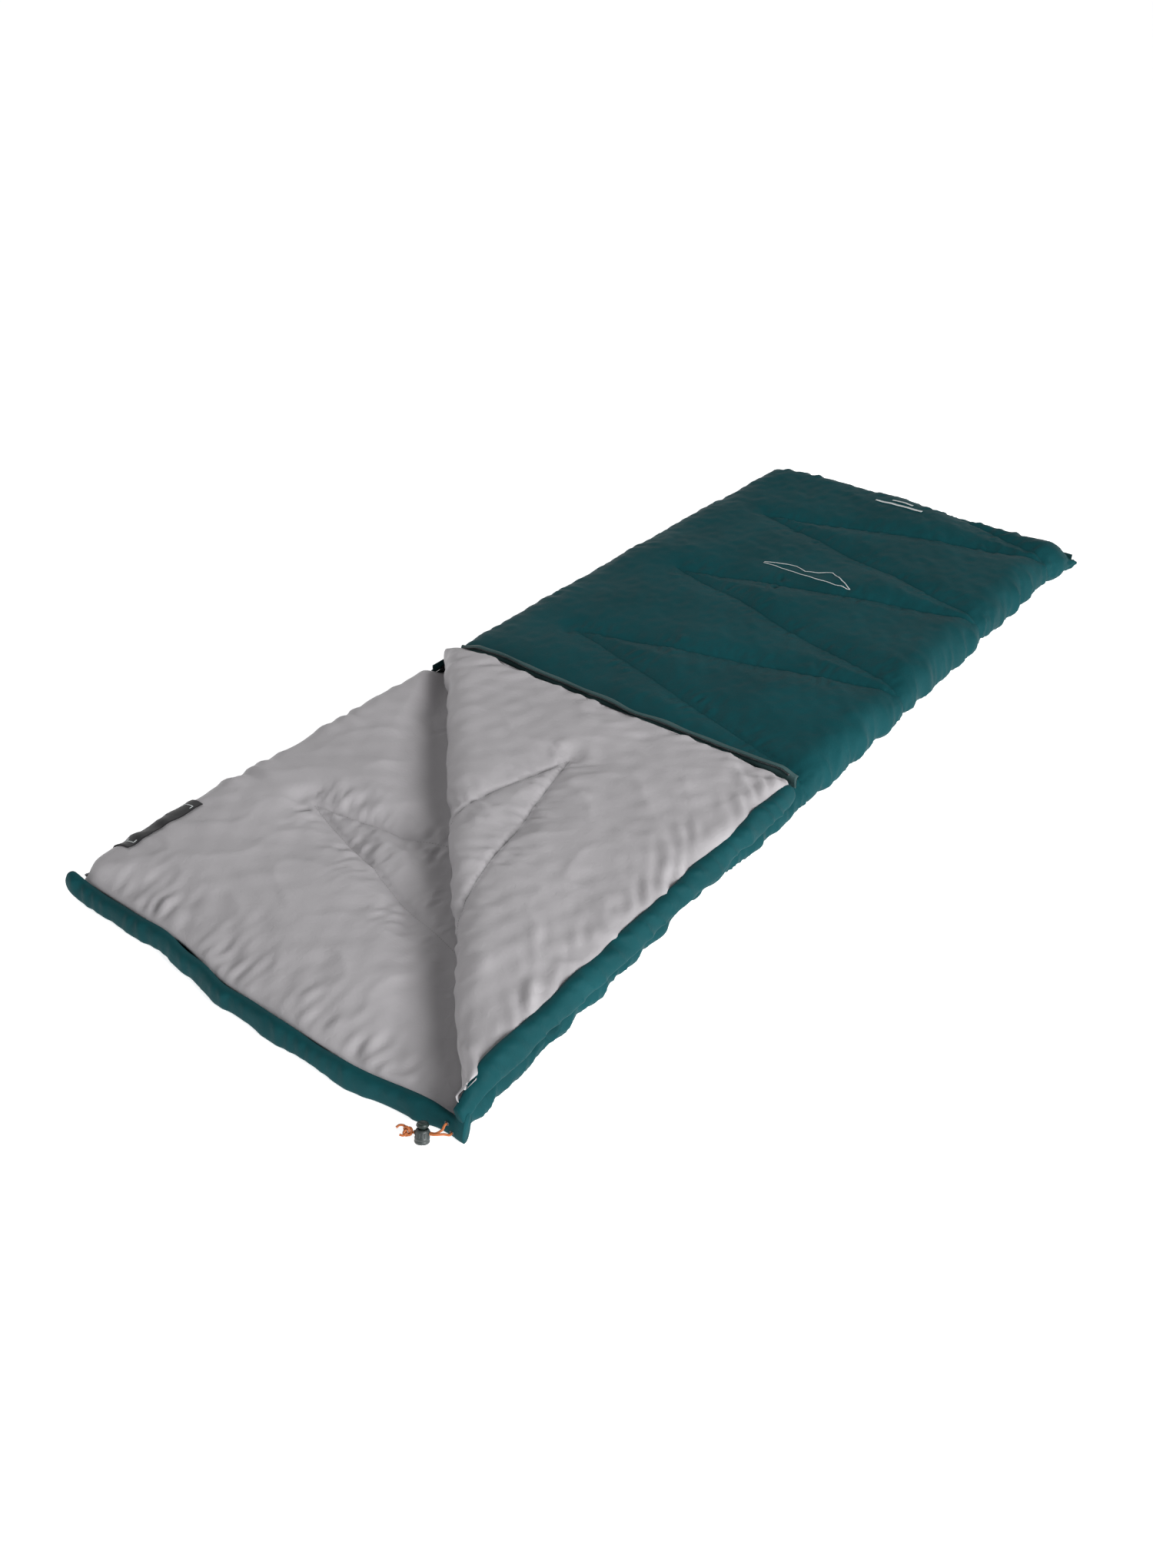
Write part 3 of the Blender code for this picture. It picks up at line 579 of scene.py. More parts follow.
def make_stage():
    """A pale dome, darker overhead, over a white floor, with a low key light from the right."""
    scene = bpy.context.scene
    scene.view_settings.view_transform = "Standard"
    world = bpy.data.worlds.new("studio")
    scene.world = world
    world.use_nodes = True
    tree = world.node_tree
    where = add_node(tree, "TexCoord").outputs["Generated"]
    parts = add_node(tree, "SeparateXYZ", where, "Vector")
    dome = add_node(tree, "ValToRGB", parts.outputs["Z"], "Fac")
    for stop, position, bright in zip(dome.color_ramp.elements, (0.28, 0.62), (1, 0.1)):
        stop.position = position
        stop.color = (bright, bright, bright, 1)
    sky = set_inputs(tree.nodes["Background"], Strength=0.95)
    tree.links.new(dome.outputs["Color"], sky.inputs["Color"])

    mesh = bpy.data.meshes.new("floor")
    far = 30
    mesh.from_pydata([(-far, -far, 0), (far, -far, 0), (far, far, 0), (-far, far, 0)], [], [(0, 1, 2, 3)])
    floor = bpy.data.objects.new("floor", mesh)
    scene.collection.objects.link(floor)
    floor.location.z = -0.0015
    paint = bpy.data.materials.new("floor_paint")
    paint.use_nodes = True
    set_inputs(
        paint.node_tree.nodes["Principled BSDF"],
        Base_Color=(0.93, 0.93, 0.93, 1),
        Roughness=0.9,
        Specular_IOR_Level=0.0,
        Emission_Color=(1, 1, 1, 1),
        Emission_Strength=0.76,
    )
    floor.data.materials.append(paint)
    area_light("key", (3.1, -0.9, 1.55), (0, -0.1, 0), 1.5, 118)
    area_light("fill", (-2.4, 0.8, 2.4), (0, -0.2, 0), 1.8, 22)


make_camera()
make_stage()


# ---- how the layers lie ----

# the folded side's outline, drawn in by the quilting
SIDE_Y = (-0.95, -0.7, -0.46, -0.12, 0.24, 0.55, 0.78, 0.9, 0.957)
SIDE_X = (0.3765, 0.3655, 0.351, 0.358, 0.357, 0.35, 0.344, 0.354, 0.369)
SIDE_RIM = 0.3736
INNER_RIM = 0.35  # where the inner cloths end at the folded side
INNER_CORNERS = (0.016, 0.006, 0.03, 0.022)
FOLD_EDGE = (-0.168, -0.085)  # over this stretch the top layer rises from under the flap's edge


def smooth_interp(x, xs, ys):
    """Through the points, with no corners."""
    wide = 0.05
    return sum(np.interp(np.asarray(x) + d * wide, xs, ys) for d in (-1, -0.5, 0, 0.5, 1)) / 5


def side_shift(y):
    """How far the folded side lies from its straight line."""
    return smooth_interp(y, SIDE_Y, SIDE_X) - SIDE_RIM


def settle(x, y):
    """Where a point of the flat plan comes to lie, with the folded side drawn in and the foot end narrower."""
    foot_in = 0.014 * ramp(y, 0.58, 0.93) * (1 - ramp(x, -0.36, -0.1))
    return x + side_shift(y) * ramp(x, -0.25, 0.36) + foot_in


def head_bow(x):
    """How far the head edge bows out beyond the straight line."""
    return 0.018 * ramp(x, -0.16, -0.02) * (1 - ramp(x, 0.19, 0.325))


def foot_bow(x):
    """The same at the foot edge."""
    return 0.007 * ramp(x, -0.36, -0.15) * (1 - ramp(x, 0.05, 0.33))


def head_shift(x, y):
    """The head edge's bow, fading away from it."""
    return head_bow(x) * (1 - ramp(y, HEM_Y, HEM_Y + 0.25))


def open_side(x, y):
    """Distance from the diagonal, into the part of the bottom layer that lies open."""
    return -((x - RIGHT) + (y - HEAD)) * math.sqrt(0.5)


QUILTING = flat_lines()

# the flap's own plan: along the diagonal from the folded side, and in from the diagonal
ACROSS = unit(FLAP_P - FLAP_R)
INWARD = np.array((ACROSS[1], -ACROSS[0]))
FLAP_LENGTH = np.linalg.norm(FLAP_P - FLAP_R)


def to_flap(points):
    rel = np.asarray(points, float) - FLAP_R
    return np.column_stack([rel @ ACROSS, rel @ INWARD])


def from_flap(along, inward):
    return FLAP_R + along[:, None] * ACROSS + inward[:, None] * INWARD


FLAP_TIP = to_flap([FLAP_Q])[0]


def bottom_lining():
    """The lining that lies open at the head, puffed there and flat under the top layer."""
    corners = [(RIM_X, HEM_Y), (INNER_RIM, HEM_Y), (INNER_RIM, RIM_Y), (RIM_X, RIM_Y)]
    outline = rounded(corners, INNER_CORNERS)

    def place(p):
        x, y = p.T
        opened = ramp(-to_flap(p)[:, 1], 0.002, 0.04 + 0.075 * ramp(x, -0.36, -0.24))
        head = quarter(y - HEM_Y, 0.05)
        lift = 0.031 * opened * (1 - 0.32 * ramp(x, -0.33, -0.05))
        roll = waves(p, 0.3, 4) * 0.0036 * opened
        from_hem = ramp(y, HEM_Y, HEM_Y + 0.03 + 0.09 * ramp(x, -0.34, -0.2))
        top = 0.0262 + (lift + roll) * (0.4 + 0.6 * from_hem)
        z = LOW_SEAM + (top - LOW_SEAM) * inner_fill(x, y)
        at_hem = 0.0246  # the height at which the hem holds it
        z = np.where(z > at_hem, at_hem + (z - at_hem) * head, z)
        belly = np.sin(np.pi * np.clip((z - LOW_SEAM) / 0.052, 0, 1)) * (1 - ramp(x, RIM_X, -0.28))
        out = 0.013 * opened * belly * ramp(y, HEAD + 0.005, HEAD + 0.06)
        return np.column_stack([settle(x, y) - out, y - head_shift(x, y), z])

    def raised(p, d, along, rim, where):
        opened = ramp(-to_flap(p)[:, 1], 0.0, 0.07)
        out = -valley(d, 0.0045 + 0.0135 * opened, 0.036)
        left, head = np.abs(p[:, 0] - RIM_X), np.abs(p[:, 1] - HEM_Y)
        out += 0.0032 * puckers(d, along, 0.016, 0.017, 11)
        out += 0.0036 * puckers(head, p[:, 0], 0.022, 0.028, 12) * opened
        out += 0.0022 * puckers(left, p[:, 1], 0.02, 0.036, 13)
        out += 0.0036 * creases(p @ np.array(((1, 0.4), (-0.4, 1))), 0.17, 14) * opened
        out += 0.0009 * waves(p, 0.05, 15) * opened
        return out * (0.2 + 0.8 * opened) * ramp(rim, -0.002, 0.012) - 0.0004

    return Surface(outline, QUILTING, place, raised)


def bottom_shell():
    """The side that lies on the ground."""
    side = INNER_RIM - 0.004
    corners = [(RIM_X, HEM_Y), (side, HEM_Y), (side, RIM_Y), (RIM_X, RIM_Y)]
    outline = rounded(corners, INNER_CORNERS)

    def place(p):
        x, y = p.T
        off = quarter(x - RIM_X, EDGE) * quarter(RIM_Y - y, EDGE) * quarter(y - HEM_Y, 0.02) * quarter(side - x, 0.022)
        z = LOW_SEAM - SEAM_IN - (LOW_SEAM - 0.0012) * off
        return np.column_stack([settle(x, y), y - head_shift(x, y), z])

    def raised(p, d, along, rim, where):
        out = -valley(d, 0.004, 0.028) + 0.0008 * puckers(d, along, 0.01, 0.018, 21)
        out += 0.0013 * puckers(np.maximum(rim, 0), p.sum(1), 0.01, 0.02, 22)
        return np.minimum(out, where[:, 2] - GROUND)

    return Surface(outline, QUILTING, place, raised, up=False)


# the top layer's shell goes on over the folded side, from its shoulder down to the ground and a little under
SHOULDER = 0.322
WALL_X = 0.0515  # how far the wall stands out from the shoulder
WALL_CENTRE = 0.0268  # the height it turns about
WALL_TURN = math.radians(160)
WALL_RUN = 0.126  # the cloth's length round it
FAR = SHOULDER + WALL_RUN


def inner_fill(x, y):
    """0 at the seams of a cloth that ends at the inner rim, 1 where the filling has its full height."""
    return quarter(x - RIM_X, EDGE) * quarter(RIM_Y - y, EDGE) * quarter(INNER_RIM - x, EDGE)


def top_height(x, y):
    """Height of the top layer's shell, low under the flap and puffed towards the foot."""
    rise = ramp(y, *FOLD_EDGE)
    slow = ramp(y, -0.12, 0.15)
    return 0.0556 + 0.0185 * rise + 0.002 * slow + 0.0022 * waves(np.column_stack([x, y]), 0.28, 31) * rise


def top_shell():
    """The outside of the top layer, from the zip over the folded side to the ground."""
    inner = 0.009
    near = FLAP_R + INWARD * inner + ACROSS * 0.012
    away = FLAP_P + INWARD * inner - ACROSS * 0.004
    corners = [(FAR, HEAD + 0.001), (FAR, RIM_Y), (RIM_X, RIM_Y), (RIM_X, away[1]), tuple(near)]
    outline = rounded(corners, (0.004, 0.01, 0.022, 0.004, 0.004))

    def place(p):
        a, y = p.T
        x = np.minimum(a, SHOULDER)
        turn = np.clip(a - SHOULDER, 0, WALL_RUN) / WALL_RUN * WALL_TURN
        pinch = quarter(RIM_Y - y, 0.08) * (0.8 + 0.2 * quarter(y - HEAD - 0.001, 0.03))
        face = TOP_SEAM + (top_height(x, y) - TOP_SEAM) * quarter(x - RIM_X, 0.07) * quarter(RIM_Y - y, 0.06)
        centre = WALL_CENTRE + (MIDDLE - WALL_CENTRE) * (1 - pinch)
        over = np.maximum(face - centre, 0.002) * np.where(a > SHOULDER, 0.12 + 0.88 * pinch, 1)
        over = over + (face - centre - over) * (1 - ramp(a, SHOULDER - 0.001, SHOULDER + 0.05)) * (a > SHOULDER)
        up = np.where(turn < math.pi / 2, over, (centre - 0.0012) * (0.1 + 0.9 * pinch))
        z = centre + up * np.cos(turn)
        out = x + WALL_X * np.sin(turn)
        beyond = foot_bow(x) * ramp(y, 0.75, 0.94) * (a < SHOULDER + 0.02)
        lift = 0.006 * ramp(y, 0.7, 0.88) * quarter(RIM_Y - y, 0.04)
        lift *= (1 - ramp(a, 0.1, SHOULDER)) * quarter(x - RIM_X, 0.048)
        return np.column_stack([settle(out, y), y + beyond, z + lift])

    def raised(p, d, along, rim, where):
        a, y = p.T
        seen = ramp(y, -0.165, -0.1)
        wall = ramp(a, SHOULDER + 0.02, SHOULDER + 0.05)
        out = -valley(d, 0.0125, 0.034) * (1 - 0.45 * wall) * (0.25 + 0.75 * np.maximum(seen, wall))
        out += 0.0017 * puckers(d, along, 0.013, 0.018, 41)
        left, foot = np.abs(a - RIM_X), np.abs(RIM_Y - y)
        out += 0.002 * puckers(left, y, 0.016, 0.026, 42) * seen
        out += 0.002 * puckers(foot, a, 0.015, 0.022, 43)
        upright = np.column_stack([y + (a - SHOULDER) * 0.3, (a - SHOULDER) * 0.3])
        out += wall * (0.0028 * waves(upright, 0.06, 44) + 0.0034 * creases(upright, 0.04, 45))
        slant = np.column_stack([a * 0.8 + y * 0.5, y * 0.55])
        out += 0.0015 * creases(slant, 0.12, 46) * seen * (1 - wall)
        out += 0.0006 * waves(p, 0.035, 47) * seen * (1 - wall)
        under = 1 - np.maximum(seen, wall)
        return out * (1 - under) + np.minimum(out, 0) * under

    # over the shoulder each pair of lines goes on as one, down the wall
    bend = SHOULDER + 0.035
    lines = []
    for a, b in QUILTING:
        reach = (bend - b[0]) / (b[0] - a[0])
        lines.append((a, (bend, b[1] + (b[1] - a[1]) * reach)))
    for y in sorted({round(b[1], 4) for a, b in QUILTING}):
        if y < FOOT - 0.02:
            lines.append(((bend, y), (FAR - 0.004, y + 0.012)))
    return Surface(outline, lines, place, raised)


def top_lining():
    """The top layer's underside."""
    near = FLAP_R + INWARD * 0.01
    near = near + ACROSS * (near[0] - INNER_RIM) / -ACROSS[0]
    away = FLAP_P + INWARD * 0.01 - ACROSS * 0.004
    corners = [tuple(near), (INNER_RIM, RIM_Y), (RIM_X, RIM_Y), (RIM_X, away[1])]
    outline = rounded(corners, (0.004, 0.03, 0.022, 0.004))

    def place(p):
        x, y = p.T
        return np.column_stack([settle(x, y), y, TOP_SEAM - SEAM_IN - (TOP_SEAM - 0.0296) * inner_fill(x, y)])

    def raised(p, d, along, rim, where):
        out = -valley(d, 0.0075, 0.03) + 0.0008 * puckers(d, along, 0.012, 0.03, 51) + 0.001 * creases(p, 0.16, 52)
        return np.minimum(out, 0)

    return Surface(outline, QUILTING, place, raised, up=False)


NOSE_IN = 0.04  # how far in from the diagonal the nose begins to turn
NOSE_TURN = math.radians(155)
NOSE_RUN = 0.108  # the cloth's length round it
HEM_IN = 0.0085
HIGHEST = 0.0962  # nothing is puffed above this


def flap_stitching():
    """The quilting lines on the folded-back corner, moved with its corners."""
    nominal = [np.array(p) for p in ((RIGHT, HEAD), (LEFT, HEAD + WIDTH), (RIGHT, HEAD + WIDTH))]
    solve = np.linalg.inv(np.column_stack([nominal[1] - nominal[0], nominal[2] - nominal[0]]))
    moved = []
    for line in zigzag():
        turned = [np.array((RIGHT - p[1], HEAD + WIDTH - p[0])) for p in line]
        parts = [solve @ (p - nominal[0]) for p in turned]
        pair = [FLAP_R + s * (FLAP_P - FLAP_R) + t * (FLAP_Q - FLAP_R) for s, t in parts]
        moved.append([tuple(q) for q in to_flap(pair)])
    return moved


def flap_edges(flat):
    """Distance from the zip edge and from the hem edge, in the flap's own plan."""
    zip_run = unit(FLAP_TIP - (FLAP_LENGTH, 0.0))
    hem_run = unit(FLAP_TIP)
    zip_d = (flat - (FLAP_LENGTH, 0.0)) @ np.array((-zip_run[1], zip_run[0]))
    return zip_d, flat @ np.array((hem_run[1], -hem_run[0]))


def flap_lining():
    """The folded-back corner's lining, with the thick round nose along the diagonal."""
    low = NOSE_IN - NOSE_RUN
    slope = (FLAP_LENGTH - FLAP_TIP[0]) / FLAP_TIP[1]
    corners = [(0.01, low), (FLAP_LENGTH - slope * low * 0.55, low), tuple(FLAP_TIP + (0.0, -HEM_IN)), (0.012, 0.0)]
    outline = rounded(corners, (0.004, 0.012, 0.018, 0.004))

    def place(p):
        along, w = p.T
        nose = NOSE_IN * np.clip(along / 0.085, 0.04, 1)
        turn = np.clip((nose - w) / (nose - low), 0, 1) * NOSE_TURN
        zip_d, hem_d = flap_edges(p)
        end = ramp(along, -0.01, 0.22)
        tight = ramp(along, 0.0, 0.12)
        flat = from_flap(along, np.maximum(w, nose))
        top = 0.0895 + 0.0042 * ramp(along, 0.75, 1.05) + 0.0022 * waves(flat, 0.24, 61)
        top = top - 0.01 * (1 - ramp(along, 0.0, 0.25))
        # under the turned-back edge the zip edge goes on round the nose's end
        round_end = quarter(np.maximum(np.where(w > 0, zip_d, zip_d + 0.03), 0), 0.036)
        at_zip, at_hem = FLAP_SEAM + 0.0085, 0.0745
        face = at_zip + (top - at_zip) * round_end
        face = at_hem + (face - at_hem) * quarter(np.maximum(hem_d - HEM_IN, 0), EDGE)
        centre = 0.0585 - 0.01 * (1 - tight)
        reach = nose + 0.002 + 0.004 * end
        tuck = 0.0285 * (0.45 + 0.55 * end)
        up = np.where(turn < math.pi / 2, face - centre, tuck * (0.5 + 0.5 * round_end))
        z = centre + up * np.cos(turn)
        inward = np.maximum(w, nose) - reach * np.sin(turn)
        flat = from_flap(along, inward)
        return np.column_stack([np.maximum(flat[:, 0], -0.3745), flat[:, 1], z])

    def raised(p, d, along, rim, where):
        zip_d, hem_d = flap_edges(p)
        nose = ramp(-p[:, 1], -NOSE_IN, 0.02)
        out = -valley(d, 0.0125, 0.034) * (1 - 0.5 * nose)
        out += 0.0024 * puckers(d, along, 0.015, 0.019, 71)
        out += 0.003 * puckers(np.abs(zip_d), p[:, 0], 0.022, 0.03, 72)
        out += 0.003 * puckers(np.abs(hem_d - HEM_IN), p[:, 1], 0.022, 0.024, 73)
        out += 0.0036 * creases(p @ np.array(((1, -0.3), (0.3, 1))), 0.16, 74)
        out += 0.0008 * waves(p, 0.05, 77)
        out += nose * 0.002 * waves(np.column_stack([p[:, 0], p[:, 1] * 0.3]), 0.075, 75)
        pinched = 1 - ramp(p[:, 0], 0.02, 0.16)
        out += pinched * 0.0016 * waves(np.column_stack([p[:, 0] * 0.4, p[:, 1]]), 0.028, 76)
        return np.minimum(out, HIGHEST - where[:, 2])

    return Surface(outline, flap_stitching(), place, raised, up=False)


LIP = 0.01  # how far in from the diagonal the underside turns down
LIP_RUN = 0.012  # the cloth's length round that turn


def flap_shell():
    """The folded-back corner's underside, with its turn into the top layer along the diagonal."""
    corners = [(0.024, -LIP), (FLAP_LENGTH - 0.008, -LIP), tuple(FLAP_TIP)]
    outline = rounded(corners, (0.003, 0.003, 0.022))

    def place(p):
        along, w = p.T
        zip_d, hem_d = flap_edges(p)
        off = quarter(np.maximum(zip_d, 0), EDGE) * quarter(np.maximum(hem_d, 0), EDGE)
        off = np.where(w < EDGE, 1 - (1 - off) * ramp(w, LIP, EDGE), off)
        z = FLAP_SEAM - SEAM_IN
        z = z - (z - 0.0576) * off
        s = np.maximum(LIP - w, 0)
        turn = np.clip(s / LIP_RUN, 0, 1) * math.pi
        inward = np.where(s < LIP_RUN, LIP - 0.006 * np.sin(turn), LIP + s - LIP_RUN)
        inward = np.where(w > LIP, w, inward)
        z = np.where(w > LIP, z, 0.0567 + 0.0009 * np.cos(turn))
        return np.column_stack([from_flap(along, inward), z])

    def raised(p, d, along, rim, where):
        out = -valley(d, 0.006, 0.03) + 0.0009 * puckers(d, along, 0.012, 0.03, 81)
        out += 0.001 * creases(p, 0.14, 82)
        return np.minimum(out, 0) * ramp(p[:, 1], LIP, EDGE)

    return Surface(outline, flap_stitching(), place, raised)


def ring_of(count):
    """A round section with flattened sides, as how far out and how far up each point is."""
    turn = np.linspace(0, ROUND, count, endpoint=False)
    return tuple(np.sign(f(turn)) * np.abs(f(turn)) ** 0.75 for f in (np.cos, np.sin))


def on_tube(pattern, along, height, size, seed):
    """Random folds over a tube's points."""
    return pattern(np.stack([along, height], -1).reshape(-1, 2), size, seed).reshape(along.shape)


def closing(distance, least):
    """The tunnel's thickness towards its closed end: 1 before it, least at it."""
    return np.sqrt(np.clip(1 - np.clip(distance, 0, 1) ** 2, least, 1))


def head_hem():
    """The drawcord tunnel along the bottom layer's head, flat and then rising where the cord comes out."""
    last, around = 0.3716, 26
    closed = -0.372 - 0.0125 * np.cos(np.linspace(0.02, 1.5, 9))
    x = np.concatenate([closed, np.arange(-0.3705, 0.372, HEM_STEP), [0.3742, 0.3752]])
    out, up = ring_of(around)
    wide = np.repeat(x[:, None], around, 1)
    end = closing((-0.372 - x) / 0.013, 0.02)
    flat = ramp(x, 0.305, 0.34)
    full = 1 - flat
    rising = ramp(x, 0.356, 0.37)
    swell = 0.0012 * ramp(x, 0.36, last)
    thick = (0.0082 - 0.003 * flat + swell) * end
    tall = (0.015 + 0.0012 * waves(x[:, None], 0.16, 92)) * end * (1 - 0.12 * flat) + 0.0085 * rising
    y = -0.9476 - head_bow(x) + (0.0042 + swell) * flat + 0.0014 * waves(x[:, None], 0.13, 91) * full
    z = 0.0158 + 0.0075 * (1 - ramp(x, -0.384, -0.34)) - 0.001 * flat + 0.008 * rising
    place = np.stack([wide, y[:, None] - thick[:, None] * out, z[:, None] + tall[:, None] * up], -1)
    place[..., 1] += (place[..., 2] - z[:, None]) * 0.22
    fold = on_tube(waves, wide, 0.3 * place[..., 2], 0.022, 93)
    slow = on_tube(creases, wide, 0.8 * place[..., 2], 0.07, 94)
    depth = (0.0007 + 0.0012 * ramp(up, 0.1, 0.9)) * fold + 0.0012 * slow
    place[..., 1] -= depth * np.clip(out, 0, 1) * full[:, None]
    place[..., 2] = np.maximum(place[..., 2], GROUND + 0.0002)
    return loft("head_hem_cloth", place, TEAL)


def hem_line(y):
    """The flap's hem edge, in x."""
    t = (y - FLAP_R[1]) / (FLAP_Q[1] - FLAP_R[1])
    return FLAP_R[0] + t * (FLAP_Q[0] - FLAP_R[0])


def flap_hem():
    """The same tunnel on the folded-back corner, turned over along the folded side."""
    around = 30
    y = np.arange(-0.947, -0.176, HEM_STEP)
    out, up = ring_of(around)
    near = ramp(y, -0.95, -0.885)
    end = closing((y + 0.196) / 0.021, 0.03) * (0.62 + 0.38 * near)
    thick = 0.0105 * end
    tall = (0.0148 + 0.0012 * waves(y[:, None], 0.15, 95)) * end
    x = hem_line(y) - 0.004 + 0.0012 * waves(y[:, None], 0.11, 96)
    z = 0.069 - 0.026 * (1 - near)
    wide = np.repeat(y[:, None], around, 1)
    place = np.stack([x[:, None] + thick[:, None] * out, wide, z[:, None] + tall[:, None] * up], -1)
    place[..., 0] -= (place[..., 2] - z[:, None]) * 0.35
    along, height = wide + 0.5 * place[..., 2], 0.35 * place[..., 2]
    face = np.clip(out * 0.8 + np.clip(up, 0, 1) * 0.5, 0, 1)
    shift = 0.0014 * on_tube(waves, along, height, 0.028, 97) + 0.005 * on_tube(creases, along, height, 0.055, 98)
    shift = shift * face * end[:, None]
    place[..., 0] += shift
    place[..., 2] += shift * 0.4 * np.clip(up, 0, 1)
    return loft("flap_hem_cloth", place, TEAL)


# the flap's zip tape in section, in millimetres out from its line and up: it stands, and its edge turns over
TAPE_SECTION = (
    (-0.7, -16), (-0.7, -4), (-0.4, 0.4), (1.6, 3), (4.6, 3.6), (5, 2.7),
    (2.2, 2), (0.8, -1), (0.7, -16),
)
COIL_PITCH = 0.0016


def flap_zip():
    """The flap's zip edge: its tape, standing proud, the coil along it and the coil's end stop."""
    start, stop = FLAP_P + (0.024, 0.0045), FLAP_Q + (-0.01, 0.004)
    t = np.linspace(0, 1, 190)
    x, y = (start + (stop - start) * t[:, None]).T
    y = y + 0.003 * np.sin(ROUND * (t * 1.15 + 0.1)) + 0.001 * waves(x[:, None], 0.12, 101)
    drop = 0.013 * (1 - ramp(t, 0, 0.07)) + 0.008 * ramp(t, 0.955, 1)
    z = 0.0822 - drop + 0.0012 * waves(x[:, None], 0.15, 102)
    flare = 1 + 0.18 * waves(x[:, None], 0.09, 103)
    rows = [
        [(x[n], y[n] + 0.0036 + out * MM * flare[n], z[n] + up * MM) for out, up in TAPE_SECTION]
        for n in range(len(x))
    ]
    tape = loft("flap_zip_tape_cloth", rows, TAPE)

    per_turn = 6
    s = np.linspace(0.01, 0.975, int(0.7 / COIL_PITCH) * per_turn)
    turn = np.arange(len(s)) * (ROUND / per_turn)
    in_coil, up_coil = 0.0014, 0.0004
    cx, cy, cz = (np.interp(s, t, v) for v in (x, y, z))
    cy = cy + in_coil + 0.0011 * np.cos(turn)
    cz = cz + up_coil + 0.0013 * np.sin(turn)
    coil = spline("flap_zip_teeth", np.column_stack([cx, cy, cz]), 0.00062, COIL, 1)
    core = np.column_stack([x, y + in_coil, z + up_coil])[3:-6:4]
    cord = spline("flap_zip_core", core, 0.0012, COIL, 2)

    a = np.linspace(0, ROUND, 12, endpoint=False)
    last = -5
    block = [
        np.column_stack([np.full(12, x[last] + k), y[last] + in_coil + r * np.cos(a), z[last] + r * np.sin(a)])
        for k, r in ((-0.0026, 0.001), (-0.002, 0.0019), (0.002, 0.0019), (0.0026, 0.001))
    ]
    return tape, coil, cord, loft("flap_zip_end_stop", block, METAL)


# ---- the cloths ----


def near_rim(surface, depth):
    return lambda p: edge_distance(p, surface.outline) < depth


below, ground, upper = bottom_lining(), bottom_shell(), top_shell()
inside, folded, behind = top_lining(), flap_lining(), flap_shell()

lining = below.cloth("bottom_lining_cloth", lambda p: open_side(p[:, 0], p[:, 1]) > -0.03, GREY)
shell = ground.cloth("bottom_shell_cloth", near_rim(ground, 0.03), TEAL)
over = upper.cloth("top_shell_cloth", lambda p: (p[:, 1] > -0.19) | (p[:, 0] > SHOULDER - 0.03), TEAL)
within = inside.cloth("top_lining_cloth", near_rim(inside, -FAR_OFF), GREY)
flap_top = folded.cloth("flap_lining_cloth", near_rim(folded, FAR_OFF), GREY)
flap_under = behind.cloth("flap_shell_cloth", lambda p: near_rim(behind, 0.02)(p) | (p[:, 1] < 0.02), TEAL)
hem = head_hem()
turned_hem = flap_hem()
tape, teeth, core, end_stop = flap_zip()

# ---- what is sewn and printed on them ----

label_y = np.linspace(-0.874, -0.738, 62)
label_x = RIM_X + np.linspace(0.0035, 0.0365, 14)
label_at = np.stack(np.meshgrid(label_y, label_x, indexing="ij"), -1)[..., ::-1]
label = patch("woven_label_cloth", below, label_at[::-1], 0.0016, 0.0007, LABEL)
marks = []
for y, side in ((-0.86, 0.006), (-0.752, -0.006)):
    near, away = RIM_X + 0.016, RIM_X + 0.031
    hook = band([(near, y + side), (near, y), (away, y), (away, y + side)], 0.0016)
    marks.append(patch(f"label_mark_{len(marks)}", below, hook, 0.0026, 0.0002, WHITE))

peaks = [(-0.09, 0.468), (-0.028, 0.492), (0.000, 0.48), (0.048, 0.506), (0.112, 0.464), (-0.09, 0.464)]
prints = [
    patch(f"print_{name}", upper, band(line, width), 0.0012, 0.0003, WHITE)
    for name, line, width in (
        ("outline", peaks, 0.002),
        ("bar_long", [(-0.052, 0.858), (0.062, 0.858)], 0.006),
        ("bar_short", [(-0.02, 0.874), (0.03, 0.874)], 0.005),
    )
]
low_sewing = stitches("bottom_lining_stitches", below, below.lines, GREY_THREAD)
top_sewing = stitches("top_shell_stitches", upper, upper.lines, THREAD)
flap_sewing = stitches("flap_lining_stitches", folded, folded.lines, GREY_THREAD)

# ---- the drawcord and its lock ----

LOCK_IN_PLAN = math.radians(30)
CORD_RADIUS = 0.0015
lock_x = Vector((math.cos(LOCK_IN_PLAN), math.sin(LOCK_IN_PLAN), 0))
lock_up = Vector((-0.203368, 0.352244, 0.913545))
lock_axes = Matrix((lock_x, lock_up.cross(lock_x), lock_up)).transposed().to_4x4()
lock_frame = Matrix.Translation((0.334, -0.974, 0.0155)) @ lock_axes


def in_lock(x, y, z):
    """A place in the frame from one in the lock's own axes: x along the strands, z to the button."""
    return np.array(lock_frame @ Vector((x, y, z)))


def circle_of(count):
    return np.linspace(0, ROUND, count, endpoint=False)


strands = []
for name, exit_at, side in (("upper", (0.35, -0.9493, 0.0205), 0.0018), ("lower", (0.357, -0.9493, 0.009), -0.0018)):
    exit_at = np.array(exit_at)
    far = in_lock(0.0195, side, 0)
    route = [exit_at + (0, 0.0007, 0), exit_at + (0, -0.004, 0), exit_at + (far - exit_at) * 0.62]
    route += [in_lock(x, side, 0) for x in (0.0155, 0.00775, 0, -0.0105)]
    line = through(route, 5)
    length = float(np.linalg.norm(np.diff(line, axis=0), axis=1).sum())
    strands.append((name, exit_at, spline(f"drawcord_{name}", line, CORD_RADIUS, CORD, 5), length))

